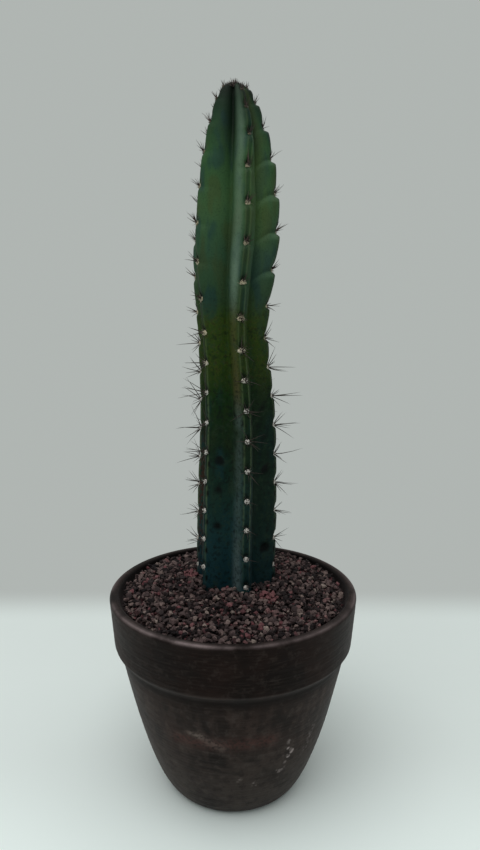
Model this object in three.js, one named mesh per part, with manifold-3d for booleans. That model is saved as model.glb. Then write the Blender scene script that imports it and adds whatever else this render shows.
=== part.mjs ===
// A columnar cactus growing in a round clay pot, with crushed lava spread over its soil.
// Millimetres, +Z up. The origin is the centre of the pot's foot, on the surface it stands on.
// Compass angles on the stem are in degrees from the front (-Y), growing towards +X.
import * as THREE from 'three';
import { mergeVertices } from 'three/addons/utils/BufferGeometryUtils.js';
import Module from 'manifold-3d';

const wasm = await Module();
wasm.setup();

// Pot: a thick rim band over a wall that curves in to a small foot.
const RIM_RADIUS = 100;
const POT_HEIGHT = 165;
const BAND_HEIGHT = 42;
const BAND_CORNER = 4;
const BAND_UNDERCUT = 4.5;
const BAND_TAPER = 3;
const NECK_RADIUS = 92;
const FOOT_RADIUS = 51;
const FOOT_CURVE = 0.6;
const WALL = 7.5;
const FLOOR = 9;
const FLOOR_CORNER = 5;
const DRAIN_RADIUS = 12.5;
const FOOT_RECESS = 1.5;
const FOOT_RING = 9;
const LIP_ROUND = 2.5;
const TURNS = 48;

// Fill: soil up to SOIL_TOP, and lava on it that rises a little towards the stem.
const FIT_GAP = 0.3;
const SOIL_TOP = 142;
const LAVA_EDGE = 162.5;
const LAVA_AT_STEM = 169;
const LAVA_SLOPE = { from: 30, to: 95 };
const GRIT_CELL = 7;
const GRIT_RELIEF = 4;
const STONE_COUNT = 32;
const STONE_RADIUS = 5;
const STONE_SQUASH = 0.75;

// Stem: a ribbed column whose crests carry a ladder of areoles.
const STEM_X = 1.5;
const STEM_Y = 14;
const FIRST_ROW = 171;
const LAST_ROW = 17.5;
const ROW_SPACING = 23.6;
const APEX_HEIGHT = 555;
// Old growth fills out: its ribs are shallower, its valleys rounder and its steps lower.
// Each step fades away from the crest and gets softer there.
const OLD_TOP = 290;
const YOUNG_BOTTOM = 430;
const RIB_DEPTH = { old: 0.35, young: 0.41 };
const VALLEY_ROUNDING = { old: 2.1, young: 1 };
const STEP_HEIGHT = { old: 1.6, young: 3.2 };
const STEP_RISE = { old: 0.5, young: 0.86 };
const STEP_FADE = 3.2;
const STEP_SOFTENING = 0.4;
const SMALL_CREST = 24;
const SHOULDER = 0.86;
const CREST_ROUNDING = 1.7;
const FURROW_SLOPE = 0.1;
const VALLEY_BLEND = 0.45;
const TIP_DEEPENING = { from: 490, to: 540, share: 0.3 };
const ROOT_TIP = { height: 86, radius: 10 };
const ROOT_NECK = { height: 138, radius: 21 };
// Each rib's crest and the valley after it, how far up its first areole sits, in rows, and the
// share of the full step that it has. In the young growth some crests and valleys turn aside, by
// crestTurn and valleyTurn degrees, over a range of heights.
const TURN_LEFT = { from: 380, to: 480 };
const TURN_RIGHT = { from: 480, to: 530 };
const RIBS = [
  { crest: -160, valley: -130, phase: 0.72, step: 1, crestTurn: 0, valleyTurn: -3, over: TURN_LEFT },
  { crest: -102, valley: -76, phase: 0.2, step: 0.7, crestTurn: -6, valleyTurn: -12, over: TURN_LEFT },
  { crest: -52, valley: -10, phase: 0.56, step: 0.5, crestTurn: -17, valleyTurn: 0, over: TURN_LEFT },
  { crest: 16, valley: 43, phase: 0, step: 1, crestTurn: 12, valleyTurn: 6, over: TURN_RIGHT },
  { crest: 83, valley: 113, phase: 0.38, step: 1.3, crestTurn: 0, valleyTurn: 0, over: TURN_RIGHT },
  { crest: 140, valley: 170, phase: 0.8, step: 1, crestTurn: 0, valleyTurn: 0, over: TURN_RIGHT },
];
// Crest radius at some heights: two years' growth, each a swelling, with a waist between them.
const CREST_OUTLINE = [
  [160, 33.1], [225, 32.9], [262, 31.9], [308, 30.3], [340, 28.6], [368, 27.3], [391, 28.9],
  [415, 31.4], [440, 32.9], [463, 32], [486, 29.7], [504, 26.9], [520, 22.9], [535, 18.2],
  [545, 14.2], [550, 11], [553, 7.8], [APEX_HEIGHT, 4.2],
];
// Sideways wander of the stem's axis at some heights.
const AXIS_WANDER = [
  [140, 0], [200, 0.2], [290, 1.8], [330, 0.4], [372, -2.4], [412, -1.6], [460, 1.2], [510, 1.4], [555, 0],
];
// Rows stand further apart in the upper swelling, closer at the waist, and crowd at the apex.
const WIDE_ROWS = { middle: 11, reach: 1.9, change: 5 };
const CLOSE_ROWS = { middle: 7.6, reach: 0.9, change: -1.2 };
const CROWDED_ROWS = { middle: 15.7, reach: 0.72 };

// Spines: one long central spine and shorter radial ones on each woolly pad.
const PAD_RADIUS = 2.4;
const SPINE_RADIUS = 0.55;
const SPINE_ROOT = 0.4;
const RADIAL_SHARE = 0.62;
// Most degrees by which a central spine leans, a radial one is lifted and its clock angle is off.
const CENTRAL_LEAN = 25;
const RADIAL_LIFT = 12;
const RADIAL_WANDER = 8;
// Length of a central spine at some heights. The longest are halfway up the old growth.
const SPINE_LENGTH = [
  [165, 14], [230, 15], [265, 19], [300, 23], [325, 22], [350, 18], [385, 13], [430, 11],
  [480, 11], [530, 9], [550, 7],
];
const TUFT_SPINES = 10;
const TUFT_LENGTH = 4;
const TUFT_WIDTH = 7;
const TUFT_ROOT = 3;
const TUFT_LEAN = { least: 10, more: 45 };

const DEG = Math.PI / 180;

// A repeatable source of numbers from 0 to 1.
function seededRandom(seed) {
  let state = seed;
  return () => {
    state = (state * 1664525 + 1013904223) % 4294967296;
    return state / 4294967296;
  };
}

// A smooth curve through [position, value] pairs, read at a position.
function smoothThrough(pairs, at) {
  const last = pairs.length - 1;
  if (at <= pairs[0][0]) return pairs[0][1];
  if (at >= pairs[last][0]) return pairs[last][1];
  let k = 0;
  while (pairs[k + 1][0] < at) k += 1;
  const slope = (i) => {
    const before = pairs[Math.max(i - 1, 0)];
    const after = pairs[Math.min(i + 1, last)];
    return (after[1] - before[1]) / (after[0] - before[0]);
  };
  const span = pairs[k + 1][0] - pairs[k][0];
  const u = (at - pairs[k][0]) / span;
  const v = 1 - u;
  return pairs[k][1] * v * v * (1 + 2 * u) + pairs[k + 1][1] * u * u * (1 + 2 * v)
    + span * u * v * (slope(k) * v - slope(k + 1) * u);
}

function smoothStep(from, to, at) {
  const u = Math.min(1, Math.max(0, (at - from) / (to - from)));
  return u * u * (3 - 2 * u);
}

// Turns a closed geometry into a solid that can be joined and cut.
function toSolid(geometry) {
  const bare = geometry.clone();
  bare.deleteAttribute('normal');
  bare.deleteAttribute('uv');
  const merged = mergeVertices(bare, 1e-4);
  return new wasm.Manifold(new wasm.Mesh({
    numProp: 3,
    vertProperties: merged.attributes.position.array,
    triVerts: new Uint32Array(merged.index.array),
  }));
}

// The largest body of a solid, with no sealed hollows and no loose scraps.
function mainBody(solid) {
  const bodies = solid.decompose();
  bodies.sort((a, b) => b.volume() - a.volume());
  return bodies[0];
}

function toGeometry(solid) {
  const mesh = mainBody(solid).getMesh();
  const geometry = new THREE.BufferGeometry();
  geometry.setAttribute('position', new THREE.BufferAttribute(mesh.vertProperties, 3));
  geometry.setIndex(new THREE.BufferAttribute(mesh.triVerts, 1));
  geometry.computeVertexNormals();
  return geometry;
}

// Turns a closed outline of [radius, height] points round the pot's own axis.
function turned(outline) {
  const points = outline.map(([radius, height]) => new THREE.Vector2(radius, height));
  points.push(points[0].clone());
  return new THREE.LatheGeometry(points, TURNS).rotateX(Math.PI / 2);
}

const NECK_HEIGHT = POT_HEIGHT - BAND_HEIGHT - BAND_UNDERCUT;

function outerWall(height) {
  return FOOT_RADIUS + (NECK_RADIUS - FOOT_RADIUS) * (height / NECK_HEIGHT) ** FOOT_CURVE;
}

// The inner wall follows the outer one, and runs straight up behind the rim band.
function innerWall(height) {
  if (height <= NECK_HEIGHT) return outerWall(height) - WALL;
  const up = (height - NECK_HEIGHT) / (POT_HEIGHT - NECK_HEIGHT);
  return THREE.MathUtils.lerp(NECK_RADIUS - WALL, RIM_RADIUS - WALL, up);
}

// Points of a quarter circle from one compass direction of the section to another.
function corner([x, y], radius, fromDeg, toDeg, steps) {
  return Array.from({ length: steps + 1 }, (_, i) => {
    const a = DEG * (fromDeg + (toDeg - fromDeg) * i / steps);
    return [x + radius * Math.cos(a), y + radius * Math.sin(a)];
  });
}

function potGeometry() {
  const bandBottom = POT_HEIGHT - BAND_HEIGHT;
  const bandFoot = RIM_RADIUS - BAND_TAPER;
  const outside = [1, 6, 16, 30, 50, 74, 98, NECK_HEIGHT].map((z) => [outerWall(z), z]);
  const inside = [NECK_HEIGHT, 88, 60, 38, 24, FLOOR + FLOOR_CORNER].map((z) => [innerWall(z), z]);
  return turned([
    [DRAIN_RADIUS, FOOT_RECESS],
    [FOOT_RADIUS - FOOT_RING, FOOT_RECESS],
    [FOOT_RADIUS - FOOT_RING + FOOT_RECESS, 0],
    [FOOT_RADIUS - 1, 0],
    ...outside,
    ...corner([bandFoot - BAND_CORNER, bandBottom + BAND_CORNER], BAND_CORNER, -80, 0, 2),
    ...corner([RIM_RADIUS - LIP_ROUND, POT_HEIGHT - LIP_ROUND], LIP_ROUND, 0, 90, 2),
    ...corner([RIM_RADIUS - WALL + LIP_ROUND, POT_HEIGHT - LIP_ROUND], LIP_ROUND, 90, 180, 2),
    ...inside,
    [innerWall(FLOOR) - FLOOR_CORNER, FLOOR],
    [DRAIN_RADIUS, FLOOR],
  ]);
}

// Distance to the next row of areoles. Rows are counted up from the lava.
function rowSpacing(row) {
  const extra = [WIDE_ROWS, CLOSE_ROWS].reduce(
    (sum, { middle, reach, change }) => sum + change * Math.exp(-(((row - middle) / reach) ** 2)),
    0,
  );
  const open = 1 / (1 + Math.exp((row - CROWDED_ROWS.middle) / CROWDED_ROWS.reach));
  return (ROW_SPACING + extra) * open;
}

const LADDER_STEP = 1 / 16;
const LADDER = [FIRST_ROW];
for (let k = 0; k < 20 / LADDER_STEP; k += 1) {
  LADDER.push(LADDER[k] + LADDER_STEP * rowSpacing((k + 0.5) * LADDER_STEP));
}

// Height of a row, or of a place between two rows.
function rowHeight(row) {
  if (row <= 0) return FIRST_ROW + row * ROW_SPACING;
  const k = Math.floor(row / LADDER_STEP);
  return THREE.MathUtils.lerp(LADDER[k], LADDER[k + 1], row / LADDER_STEP - k);
}

function axisAt(height) {
  return [STEM_X + smoothThrough(AXIS_WANDER, height), STEM_Y];
}

// A value that differs between the old and the young growth, at a height.
function byAge({ old, young }, height) {
  return THREE.MathUtils.lerp(old, young, smoothStep(OLD_TOP, YOUNG_BOTTOM, height));
}

// The skin bulges out from one areole (0) up to the shoulder under the next, and steps in there (1).
function stepRelief(s, rise, shoulder) {
  const rest = Math.max(0, 1 - s / rise);
  return 0.5 - rest * rest - smoothStep(shoulder, 1, s);
}

// Compass angle of a place on a rib, in radians. across is 0 on its crest and -1 or 1 in a valley.
function compassAt(rib, across, height) {
  const here = RIBS[rib];
  const bound = across < 0 ? RIBS[(rib + RIBS.length - 1) % RIBS.length] : here;
  const crest = here.crest + here.crestTurn * smoothStep(here.over.from, here.over.to, height);
  const valley = bound.valley + bound.valleyTurn * smoothStep(bound.over.from, bound.over.to, height);
  const turn = ((valley - crest + 540) % 360) - 180;
  return DEG * (crest + turn * Math.abs(across));
}

// A point of the ribbed skin. across is 0 on the rib's crest and -1 or 1 in the valley beside it.
// swell moves the skin outwards.
function skinPoint(rib, across, row, swell = 0) {
  const here = RIBS[rib];
  const beside = RIBS[(rib + (across < 0 ? RIBS.length - 1 : 1)) % RIBS.length];
  const off = Math.abs(across);
  const phase = here.phase + (beside.phase - here.phase) * smoothStep(VALLEY_BLEND, 1, off) / 2;
  const place = row + phase - FURROW_SLOPE * off;
  const height = rowHeight(place);
  const crest = smoothThrough(CREST_OUTLINE, height);
  const { from, to, share } = TIP_DEEPENING;
  const depth = byAge(RIB_DEPTH, height) * (1 + share * smoothStep(from, to, height));
  const profile = (1 - off ** CREST_ROUNDING) ** byAge(VALLEY_ROUNDING, height);
  const full = byAge(STEP_HEIGHT, height) * here.step * Math.min(1, crest / SMALL_CREST);
  const step = full * (1 - off) ** STEP_FADE;
  const shoulder = SHOULDER - STEP_SOFTENING * off;
  const relief = step * stepRelief(row - Math.floor(row), byAge(STEP_RISE, height), shoulder);
  const radius = crest * (1 - depth * (1 - profile)) + relief + swell;
  const a = compassAt(rib, across, height);
  const [x, y] = axisAt(height);
  return new THREE.Vector3(x + radius * Math.sin(a), y - radius * Math.cos(a), height);
}

// A point of the buried root crown, which is round and tapers to a blunt end.
function rootPoint(a, height, swell) {
  const up = Math.max(0, (height - ROOT_TIP.height) / (ROOT_NECK.height - ROOT_TIP.height));
  const radius = THREE.MathUtils.lerp(ROOT_TIP.radius, ROOT_NECK.radius, up ** 0.7) + swell;
  const [x, y] = axisAt(ROOT_NECK.height);
  return new THREE.Vector3(x + radius * Math.sin(a), y - radius * Math.cos(a), height);
}

// The stem without its spines: root crown, ribbed column and closed apex.
const ACROSS = [-0.6, -0.25, 0, 0.25, 0.6, 1];
const ROW_STEPS = [0, 0.4, SHOULDER];

function stemGeometry(swell = 0) {
  const rings = [];
  const compass = RIBS.flatMap((_, k) => ACROSS.map((across) => compassAt(k, across, ROOT_NECK.height)));
  for (const up of [0, 0.15, 0.5, 1]) {
    const height = THREE.MathUtils.lerp(ROOT_TIP.height - swell, ROOT_NECK.height, up);
    rings.push(compass.map((a) => rootPoint(a, height, swell)));
  }
  const rows = [-0.7];
  for (let row = 0; row < LAST_ROW; row += 1) {
    rows.push(...ROW_STEPS.map((step) => row + step).filter((r) => r < LAST_ROW - 0.3));
  }
  for (const row of rows) {
    rings.push(RIBS.flatMap((_, k) => ACROSS.map((across) => skinPoint(k, across, row, swell))));
  }
  const columns = compass.length;
  const low = rings[0].reduce((sum, p) => sum.add(p), new THREE.Vector3()).divideScalar(columns);
  const top = new THREE.Vector3(...axisAt(APEX_HEIGHT), APEX_HEIGHT + swell);
  const positions = [...rings.flat(), low, top].flatMap((p) => [p.x, p.y, p.z]);
  const index = [];
  const lowIndex = rings.length * columns;
  for (let j = 0; j < columns; j += 1) {
    const next = (j + 1) % columns;
    index.push(lowIndex, next, j);
    index.push(lowIndex + 1, (rings.length - 1) * columns + j, (rings.length - 1) * columns + next);
    for (let i = 0; i + 1 < rings.length; i += 1) {
      const [a, b] = [i * columns + j, i * columns + next];
      index.push(a, b, b + columns, a, b + columns, a + columns);
    }
  }
  const geometry = new THREE.BufferGeometry();
  geometry.setAttribute('position', new THREE.Float32BufferAttribute(positions, 3));
  geometry.setIndex(index);
  return geometry;
}

// Each areole's place on its crest, with the way it faces.
function areoles() {
  const found = [];
  RIBS.forEach((rib, k) => {
    for (let row = 0; row + rib.phase < LAST_ROW - 0.6; row += 1) {
      const at = skinPoint(k, 0, row);
      const up = skinPoint(k, 0, row + 0.2).sub(skinPoint(k, 0, row - 0.2)).normalize();
      const a = compassAt(k, 0, at.z);
      const side = new THREE.Vector3(Math.cos(a), Math.sin(a), 0);
      const out = new THREE.Vector3().crossVectors(side, up).normalize();
      found.push({ at, out, up, side });
    }
  });
  return found;
}

// A direction at an areole, leaning from straight out by tilt, towards a clock angle.
function leaning({ out, up, side }, tilt, clock) {
  return new THREE.Vector3()
    .addScaledVector(out, Math.cos(tilt))
    .addScaledVector(up, Math.sin(tilt) * Math.sin(clock))
    .addScaledVector(side, Math.sin(tilt) * Math.cos(clock));
}

// The woolly pad: eight faces, one of them to the front and three round it.
// first is the clock angle of the first of those three.
const FACE_TILT = Math.acos(1 / 3);

function padGeometry(areole, first, radius = PAD_RADIUS) {
  const front = leaning(areole, 0, 0);
  const around = leaning(areole, FACE_TILT, first);
  const corner = (x, y, z) => new THREE.Vector3(x, y, z).normalize();
  const own = new THREE.Matrix4().lookAt(corner(1, 1, 1), new THREE.Vector3(), corner(-1, 1, 1));
  const wanted = new THREE.Matrix4().lookAt(front, new THREE.Vector3(), around);
  return new THREE.OctahedronGeometry(radius)
    .applyMatrix4(own.transpose())
    .applyMatrix4(wanted)
    .translate(areole.at.x, areole.at.y, areole.at.z);
}

// A spine from its areole along a direction.
function spineGeometry({ at }, way, length) {
  const middle = at.clone().addScaledVector(way, SPINE_ROOT + length / 2);
  return new THREE.ConeGeometry(SPINE_RADIUS, length, 3, 1)
    .applyQuaternion(new THREE.Quaternion().setFromUnitVectors(new THREE.Vector3(0, 1, 0), way))
    .translate(middle.x, middle.y, middle.z);
}

// The short upright spines on the apex.
function tuftSpines(random) {
  const [side, up, out] = [0, 1, 2].map((axis) => new THREE.Vector3().setComponent(axis, 1));
  return Array.from({ length: TUFT_SPINES }, (_, k) => {
    const clock = 2 * Math.PI * (k + 0.5 * random()) / TUFT_SPINES;
    const way = leaning({ out, up, side }, DEG * (TUFT_LEAN.least + TUFT_LEAN.more * random()), clock);
    const root = TUFT_WIDTH * (0.15 + 0.35 * random());
    const at = new THREE.Vector3(...axisAt(APEX_HEIGHT), APEX_HEIGHT - TUFT_ROOT);
    at.addScaledVector(side, root * Math.cos(clock)).addScaledVector(up, root * Math.sin(clock));
    return toSolid(spineGeometry({ at }, way, TUFT_ROOT + TUFT_LENGTH * (0.8 + 0.5 * random())));
  });
}

// The whole plant. Near the lava spines only point up, and at the apex they stand in a tuft.
function cactusGeometry() {
  const random = seededRandom(5);
  const pieces = [toSolid(stemGeometry())];
  for (const areole of areoles()) {
    const nearLava = areole.at.z < FIRST_ROW + ROW_SPACING;
    const first = DEG * (nearLava ? 90 : 90 + 60 * Math.floor(2 * random()));
    pieces.push(toSolid(padGeometry(areole, first)));
    const length = smoothThrough(SPINE_LENGTH, areole.at.z);
    const clock = nearLava ? first : 2 * Math.PI * random();
    const central = leaning(areole, DEG * CENTRAL_LEAN * random(), clock);
    pieces.push(toSolid(spineGeometry(areole, central, length * (0.85 + 0.25 * random()))));
    for (let k = 0; k < 3; k += 1) {
      const turn = first + DEG * (120 * k + 2 * RADIAL_WANDER * (random() - 0.5));
      const way = leaning(areole, FACE_TILT - DEG * RADIAL_LIFT * random(), turn);
      const reach = length * RADIAL_SHARE * (0.8 + 0.4 * random());
      if (!nearLava || way.z > 0) pieces.push(toSolid(spineGeometry(areole, way, reach)));
    }
  }
  pieces.push(...tuftSpines(random));
  return toGeometry(wasm.Manifold.union(pieces));
}

// The room that the plant takes in the fill: its stem and its lowest pads, a little swollen.
function plantHollow() {
  const pads = areoles().filter(({ at }) => at.z < LAVA_AT_STEM + 2 * STONE_RADIUS)
    .map((areole) => toSolid(padGeometry(areole, DEG * 90, PAD_RADIUS + 2 * FIT_GAP)));
  return wasm.Manifold.union([toSolid(stemGeometry(1.5 * FIT_GAP)), ...pads]);
}

// The soil fills the pot up to the lava, with a hole where the root crown stands.
function soilGeometry(hollow) {
  const levels = [FLOOR + FLOOR_CORNER, 38, 88, NECK_HEIGHT, SOIL_TOP];
  const side = levels.map((z) => [innerWall(z) - FIT_GAP, z]);
  const fill = turned([
    [0, FLOOR + FIT_GAP],
    [innerWall(FLOOR) - FLOOR_CORNER - FIT_GAP, FLOOR + FIT_GAP],
    ...side,
    [0, SOIL_TOP],
  ]);
  return toGeometry(toSolid(fill).subtract(hollow));
}

// Height of the lava bed at a distance from the stem's axis.
function lavaLevel(x, y) {
  const away = Math.hypot(x - STEM_X, y - STEM_Y);
  return THREE.MathUtils.lerp(LAVA_AT_STEM, LAVA_EDGE, smoothStep(LAVA_SLOPE.from, LAVA_SLOPE.to, away));
}

// The bed's top is grit: every corner of a fine grid is pushed up, down and aside.
function gritBed(random) {
  const cells = Math.ceil(2 * RIM_RADIUS / GRIT_CELL);
  const depth = 2 * (LAVA_EDGE - SOIL_TOP);
  const bed = new THREE.BoxGeometry(cells * GRIT_CELL, cells * GRIT_CELL, depth, cells, cells, 1);
  bed.deleteAttribute('normal');
  bed.deleteAttribute('uv');
  const merged = mergeVertices(bed, 1e-4);
  const corners = merged.attributes.position;
  for (let i = 0; i < corners.count; i += 1) {
    const x = corners.getX(i) + GRIT_CELL * 0.5 * (random() - 0.5);
    const y = corners.getY(i) + GRIT_CELL * 0.5 * (random() - 0.5);
    const top = lavaLevel(x, y) + GRIT_RELIEF * (random() - 0.6);
    corners.setXYZ(i, x, y, corners.getZ(i) > 0 ? top : SOIL_TOP - depth);
  }
  return merged;
}

// One angular stone: an octahedron with its corners pushed about, half sunk in the bed.
function stoneGeometry(random, x, y) {
  const stone = new THREE.OctahedronGeometry(STONE_RADIUS * (0.8 + 0.4 * random()));
  stone.deleteAttribute('normal');
  stone.deleteAttribute('uv');
  const merged = mergeVertices(stone, 1e-4);
  const corners = merged.attributes.position;
  for (let i = 0; i < corners.count; i += 1) {
    const stretch = 0.8 + 0.4 * random();
    corners.setXYZ(i, corners.getX(i) * stretch, corners.getY(i) * stretch, corners.getZ(i) * stretch);
  }
  const tilt = new THREE.Euler(Math.PI * random(), Math.PI * random(), Math.PI * random());
  return merged
    .applyQuaternion(new THREE.Quaternion().setFromEuler(tilt))
    .scale(1, 1, STONE_SQUASH)
    .translate(x, y, lavaLevel(x, y));
}

// The lava: grit with stones fused into its top, kept inside the pot and clear of the stem.
function lavaGeometry(hollow) {
  const random = seededRandom(11);
  const bottom = SOIL_TOP + FIT_GAP;
  const top = LAVA_AT_STEM + STONE_RADIUS;
  const inPot = toSolid(turned([
    [0, bottom],
    [innerWall(bottom) - FIT_GAP, bottom],
    [innerWall(POT_HEIGHT) - FIT_GAP, POT_HEIGHT],
    [innerWall(POT_HEIGHT) - FIT_GAP, top],
    [0, top],
  ]));
  const pieces = [toSolid(gritBed(random))];
  const golden = Math.PI * (3 - Math.sqrt(5));
  for (let k = 0; k < STONE_COUNT; k += 1) {
    const away = (innerWall(LAVA_EDGE) - STONE_RADIUS) * Math.sqrt((k + 0.5) / STONE_COUNT);
    const x = away * Math.cos(k * golden);
    const y = away * Math.sin(k * golden);
    pieces.push(toSolid(stoneGeometry(random, x, y)));
  }
  return toGeometry(wasm.Manifold.union(pieces).intersect(inPot).subtract(hollow));
}

function piece(name, geometry, color, roughness) {
  const mesh = new THREE.Mesh(geometry, new THREE.MeshStandardMaterial({ color, roughness, metalness: 0 }));
  mesh.name = name;
  return mesh;
}

const hollow = plantHollow();
const plant = new THREE.Group();
plant.name = 'potted_cactus';
plant.add(
  piece('pot', potGeometry(), '#2c2522', 0.85),
  piece('soil', soilGeometry(hollow), '#1d1612', 1),
  piece('lava', lavaGeometry(hollow), '#3d2c2a', 0.95),
  piece('cactus', cactusGeometry(), '#2b4633', 0.5),
);

export default plant;
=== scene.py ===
# %% [markdown]
# This is a columnar cactus in a clay pot. The imported solids give the size and place of its four
# pieces: the pot, its soil, a bed of crushed lava and the plant. They are a fixed frame, so the scene
# only dresses them. The first step loads that frame.

# %% Load the imported frame
import math
import bmesh
import bpy
import numpy as np
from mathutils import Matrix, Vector


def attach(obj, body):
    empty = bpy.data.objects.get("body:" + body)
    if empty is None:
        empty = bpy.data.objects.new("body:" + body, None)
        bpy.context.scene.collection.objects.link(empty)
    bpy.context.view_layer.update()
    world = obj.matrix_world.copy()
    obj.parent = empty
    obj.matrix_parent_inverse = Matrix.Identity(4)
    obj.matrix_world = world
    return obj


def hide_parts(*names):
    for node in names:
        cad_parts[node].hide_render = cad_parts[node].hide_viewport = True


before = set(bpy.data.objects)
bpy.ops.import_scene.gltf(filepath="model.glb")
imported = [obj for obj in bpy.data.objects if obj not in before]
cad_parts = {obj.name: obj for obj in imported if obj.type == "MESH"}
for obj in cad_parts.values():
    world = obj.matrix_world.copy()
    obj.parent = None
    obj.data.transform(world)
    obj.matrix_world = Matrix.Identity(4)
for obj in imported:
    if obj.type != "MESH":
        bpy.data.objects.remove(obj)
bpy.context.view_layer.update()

# %% [markdown]
# The plant is seen from close by, from higher than the rim of the pot. So the lens is wide, the rim
# shows as a broad ellipse and the pot narrows towards its foot. The place and the tilt of the camera
# were fitted to that ellipse, the foot and the stem.

# %% Camera
LENS = 27.0
EYE = (0.0056, -0.496, 0.384)
LOOK_DOWN = 9.64

camera = bpy.data.objects.new("camera", bpy.data.cameras.new("camera"))
bpy.context.collection.objects.link(camera)
camera.data.lens = LENS
camera.data.clip_start = 0.01
camera.location = EYE
camera.rotation_euler = (math.radians(90 - LOOK_DOWN), 0, 0)
bpy.context.scene.camera = camera
bpy.context.scene.view_settings.view_transform = "Standard"
print("camera at", EYE, "looking down", LOOK_DOWN, "degrees")

# %% [markdown]
# A material is a graph of nodes, and much of it is arithmetic: one minus a mask, a mask times a
# noise. Python can write that as plain sums if an output socket is wrapped in a small class that
# knows what plus and times mean. Every other kind of node comes from its one method, node().

# %% The wire class
class Wire:
    """An output socket of a node. Sums, differences and products of wires add Math nodes."""

    def __init__(self, tree, socket=None):
        self.tree = tree
        self.socket = socket

    def node(self, kind, settings=None, sockets=None, out=0):
        """Adds a node. Its settings are set first, and then its sockets get values or links."""
        made = self.tree.nodes.new("ShaderNode" + kind)
        for key, value in (settings or {}).items():
            if key == "stops":
                set_stops(made.color_ramp, value)
            else:
                setattr(made, key, value)
        for key, value in (sockets or {}).items():
            if isinstance(value, Wire):
                self.tree.links.new(value.socket, made.inputs[key])
            else:
                made.inputs[key].default_value = value
        return Wire(self.tree, made.outputs[out] if made.outputs else None)

    def math(self, operation, first, second):
        return self.node("Math", {"operation": operation}, {0: first, 1: second})

    def __add__(self, other):
        return self.math("ADD", self, other)

    def __radd__(self, other):
        return self.math("ADD", other, self)

    def __sub__(self, other):
        return self.math("SUBTRACT", self, other)

    def __rsub__(self, other):
        return self.math("SUBTRACT", other, self)

    def __mul__(self, other):
        return self.math("MULTIPLY", self, other)

    def __rmul__(self, other):
        return self.math("MULTIPLY", other, self)

    def rising(self, low, high):
        """0 below low, 1 above high, and a smooth step between them."""
        steps = {"Value": self, "From Min": low, "From Max": high}
        return self.node("MapRange", {"interpolation_type": "SMOOTHSTEP"}, steps)

    def falling(self, low, high):
        """1 below low, 0 above high, and a smooth step between them."""
        return 1 - self.rising(low, high)

    def blend(self, first, second):
        """The first colour where this wire is 0, and the second where it is 1."""
        return self.node("Mix", {"data_type": "RGBA"}, {0: self, 6: first, 7: second}, 2)


# %% Paint and finish
def set_stops(ramp, stops):
    """Gives a ramp its stops, each a place from 0 to 1 and a colour."""
    while len(ramp.elements) < len(stops):
        ramp.elements.new(1.0)
    for element, (place, colour) in zip(ramp.elements, stops):
        element.position = place
        element.color = colour


def paint(red, green, blue):
    """A colour as seen on a screen, 0 to 255, turned to the linear one that shaders use."""
    seen = [channel / 255 for channel in (red, green, blue)]
    return (*[c / 12.92 if c <= 0.04045 else ((c + 0.055) / 1.055) ** 2.4 for c in seen], 1.0)


def finish(name, draw):
    """Makes a material. draw gets a wire to start from and returns the surface's sockets."""
    material = bpy.data.materials.new(name)
    material.use_nodes = True
    material.node_tree.nodes.clear()
    start = Wire(material.node_tree)
    surface = start.node("BsdfPrincipled", {}, draw(start))
    start.node("OutputMaterial", {}, {"Surface": surface})
    print("finish", name, "has", len(material.node_tree.nodes), "nodes")
    return material


# %% [markdown]
# All finishes here are built alike. A ground colour gets coat after coat, each with a share that
# comes from a noise, from the height, or from a mask that the mesh carries at its points. A few
# helpers name those parts, so that a finish reads like a recipe.

# %% Parts of a finish
def place_of(start):
    """The place of a point on the object, in metres, and its height alone."""
    place = start.node("TexCoord", out="Object")
    return place, start.node("SeparateXYZ", {}, {0: place}, "Z")


def noise(place, scale, detail=2.0, rough=0.5):
    """Cloudy noise from 0 to 1. A greater scale makes smaller clouds."""
    sockets = {"Vector": place, "Scale": scale, "Detail": detail, "Roughness": rough}
    return place.node("TexNoise", {}, sockets)


def grains(place, scale):
    """Distance to the nearest of many scattered points, which makes pores, drops and crumbs."""
    return place.node("TexVoronoi", {}, {"Vector": place, "Scale": scale}, "Distance")


def stretched(place, factors):
    """The same place with its axes scaled, so that a noise read there is drawn out."""
    return place.node("VectorMath", {"operation": "MULTIPLY"}, {0: place, 1: factors})


def masks_of(start, names):
    """The masks of these names, which the mesh carries at its points."""
    return {name: start.node("Attribute", {"attribute_name": name}, {}, "Fac") for name in names}


def bumpy(height, strength, distance):
    """Small relief for the Normal socket, from a noise and the distance in metres that it spans."""
    return height.node("Bump", {}, {"Strength": strength, "Distance": distance, "Height": height})


def ramp(share, tones):
    """Reads a colour off a ramp of places from 0 to 1, each with a colour from 0 to 255."""
    return share.node("ValToRGB", {"stops": [(place, paint(*tone)) for place, tone in tones]}, {0: share})


def coats(ground, layers):
    """Lays coats over a ground colour, each a share from 0 to 1 and a colour from 0 to 255."""
    for share, colour in layers:
        ground = share.blend(ground, paint(*colour))
    return ground


# %% [markdown]
# The plant stands on a pale floor in front of a pale wall. A real wall would hide the plant from
# behind, so the floor is a sheet of smooth board in two tones instead. Its far part takes the tone
# of the wall from where the wall would stand, with a soft edge as in a studio sweep.

# %% Floor
FLOOR_HALF = 6.0
WALL_PLACE = 0.315
SWEEP = 0.05
NEAR_EDGE = (-0.13, 0.03)
FLOOR_TONE = (0.77, 0.83, 0.81, 1.0)
# Painted light: near the viewer the board is paler and glows a little.
NEAR_LIGHT_TONE = (0.90, 0.98, 0.955, 1.0)
NEAR_LIGHT_GLOW = (0.040, 0.050, 0.048, 1.0)
BACKDROP = (0.435, 0.465, 0.447, 1.0)
BLACK = (0.0, 0.0, 0.0, 1.0)


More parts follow.
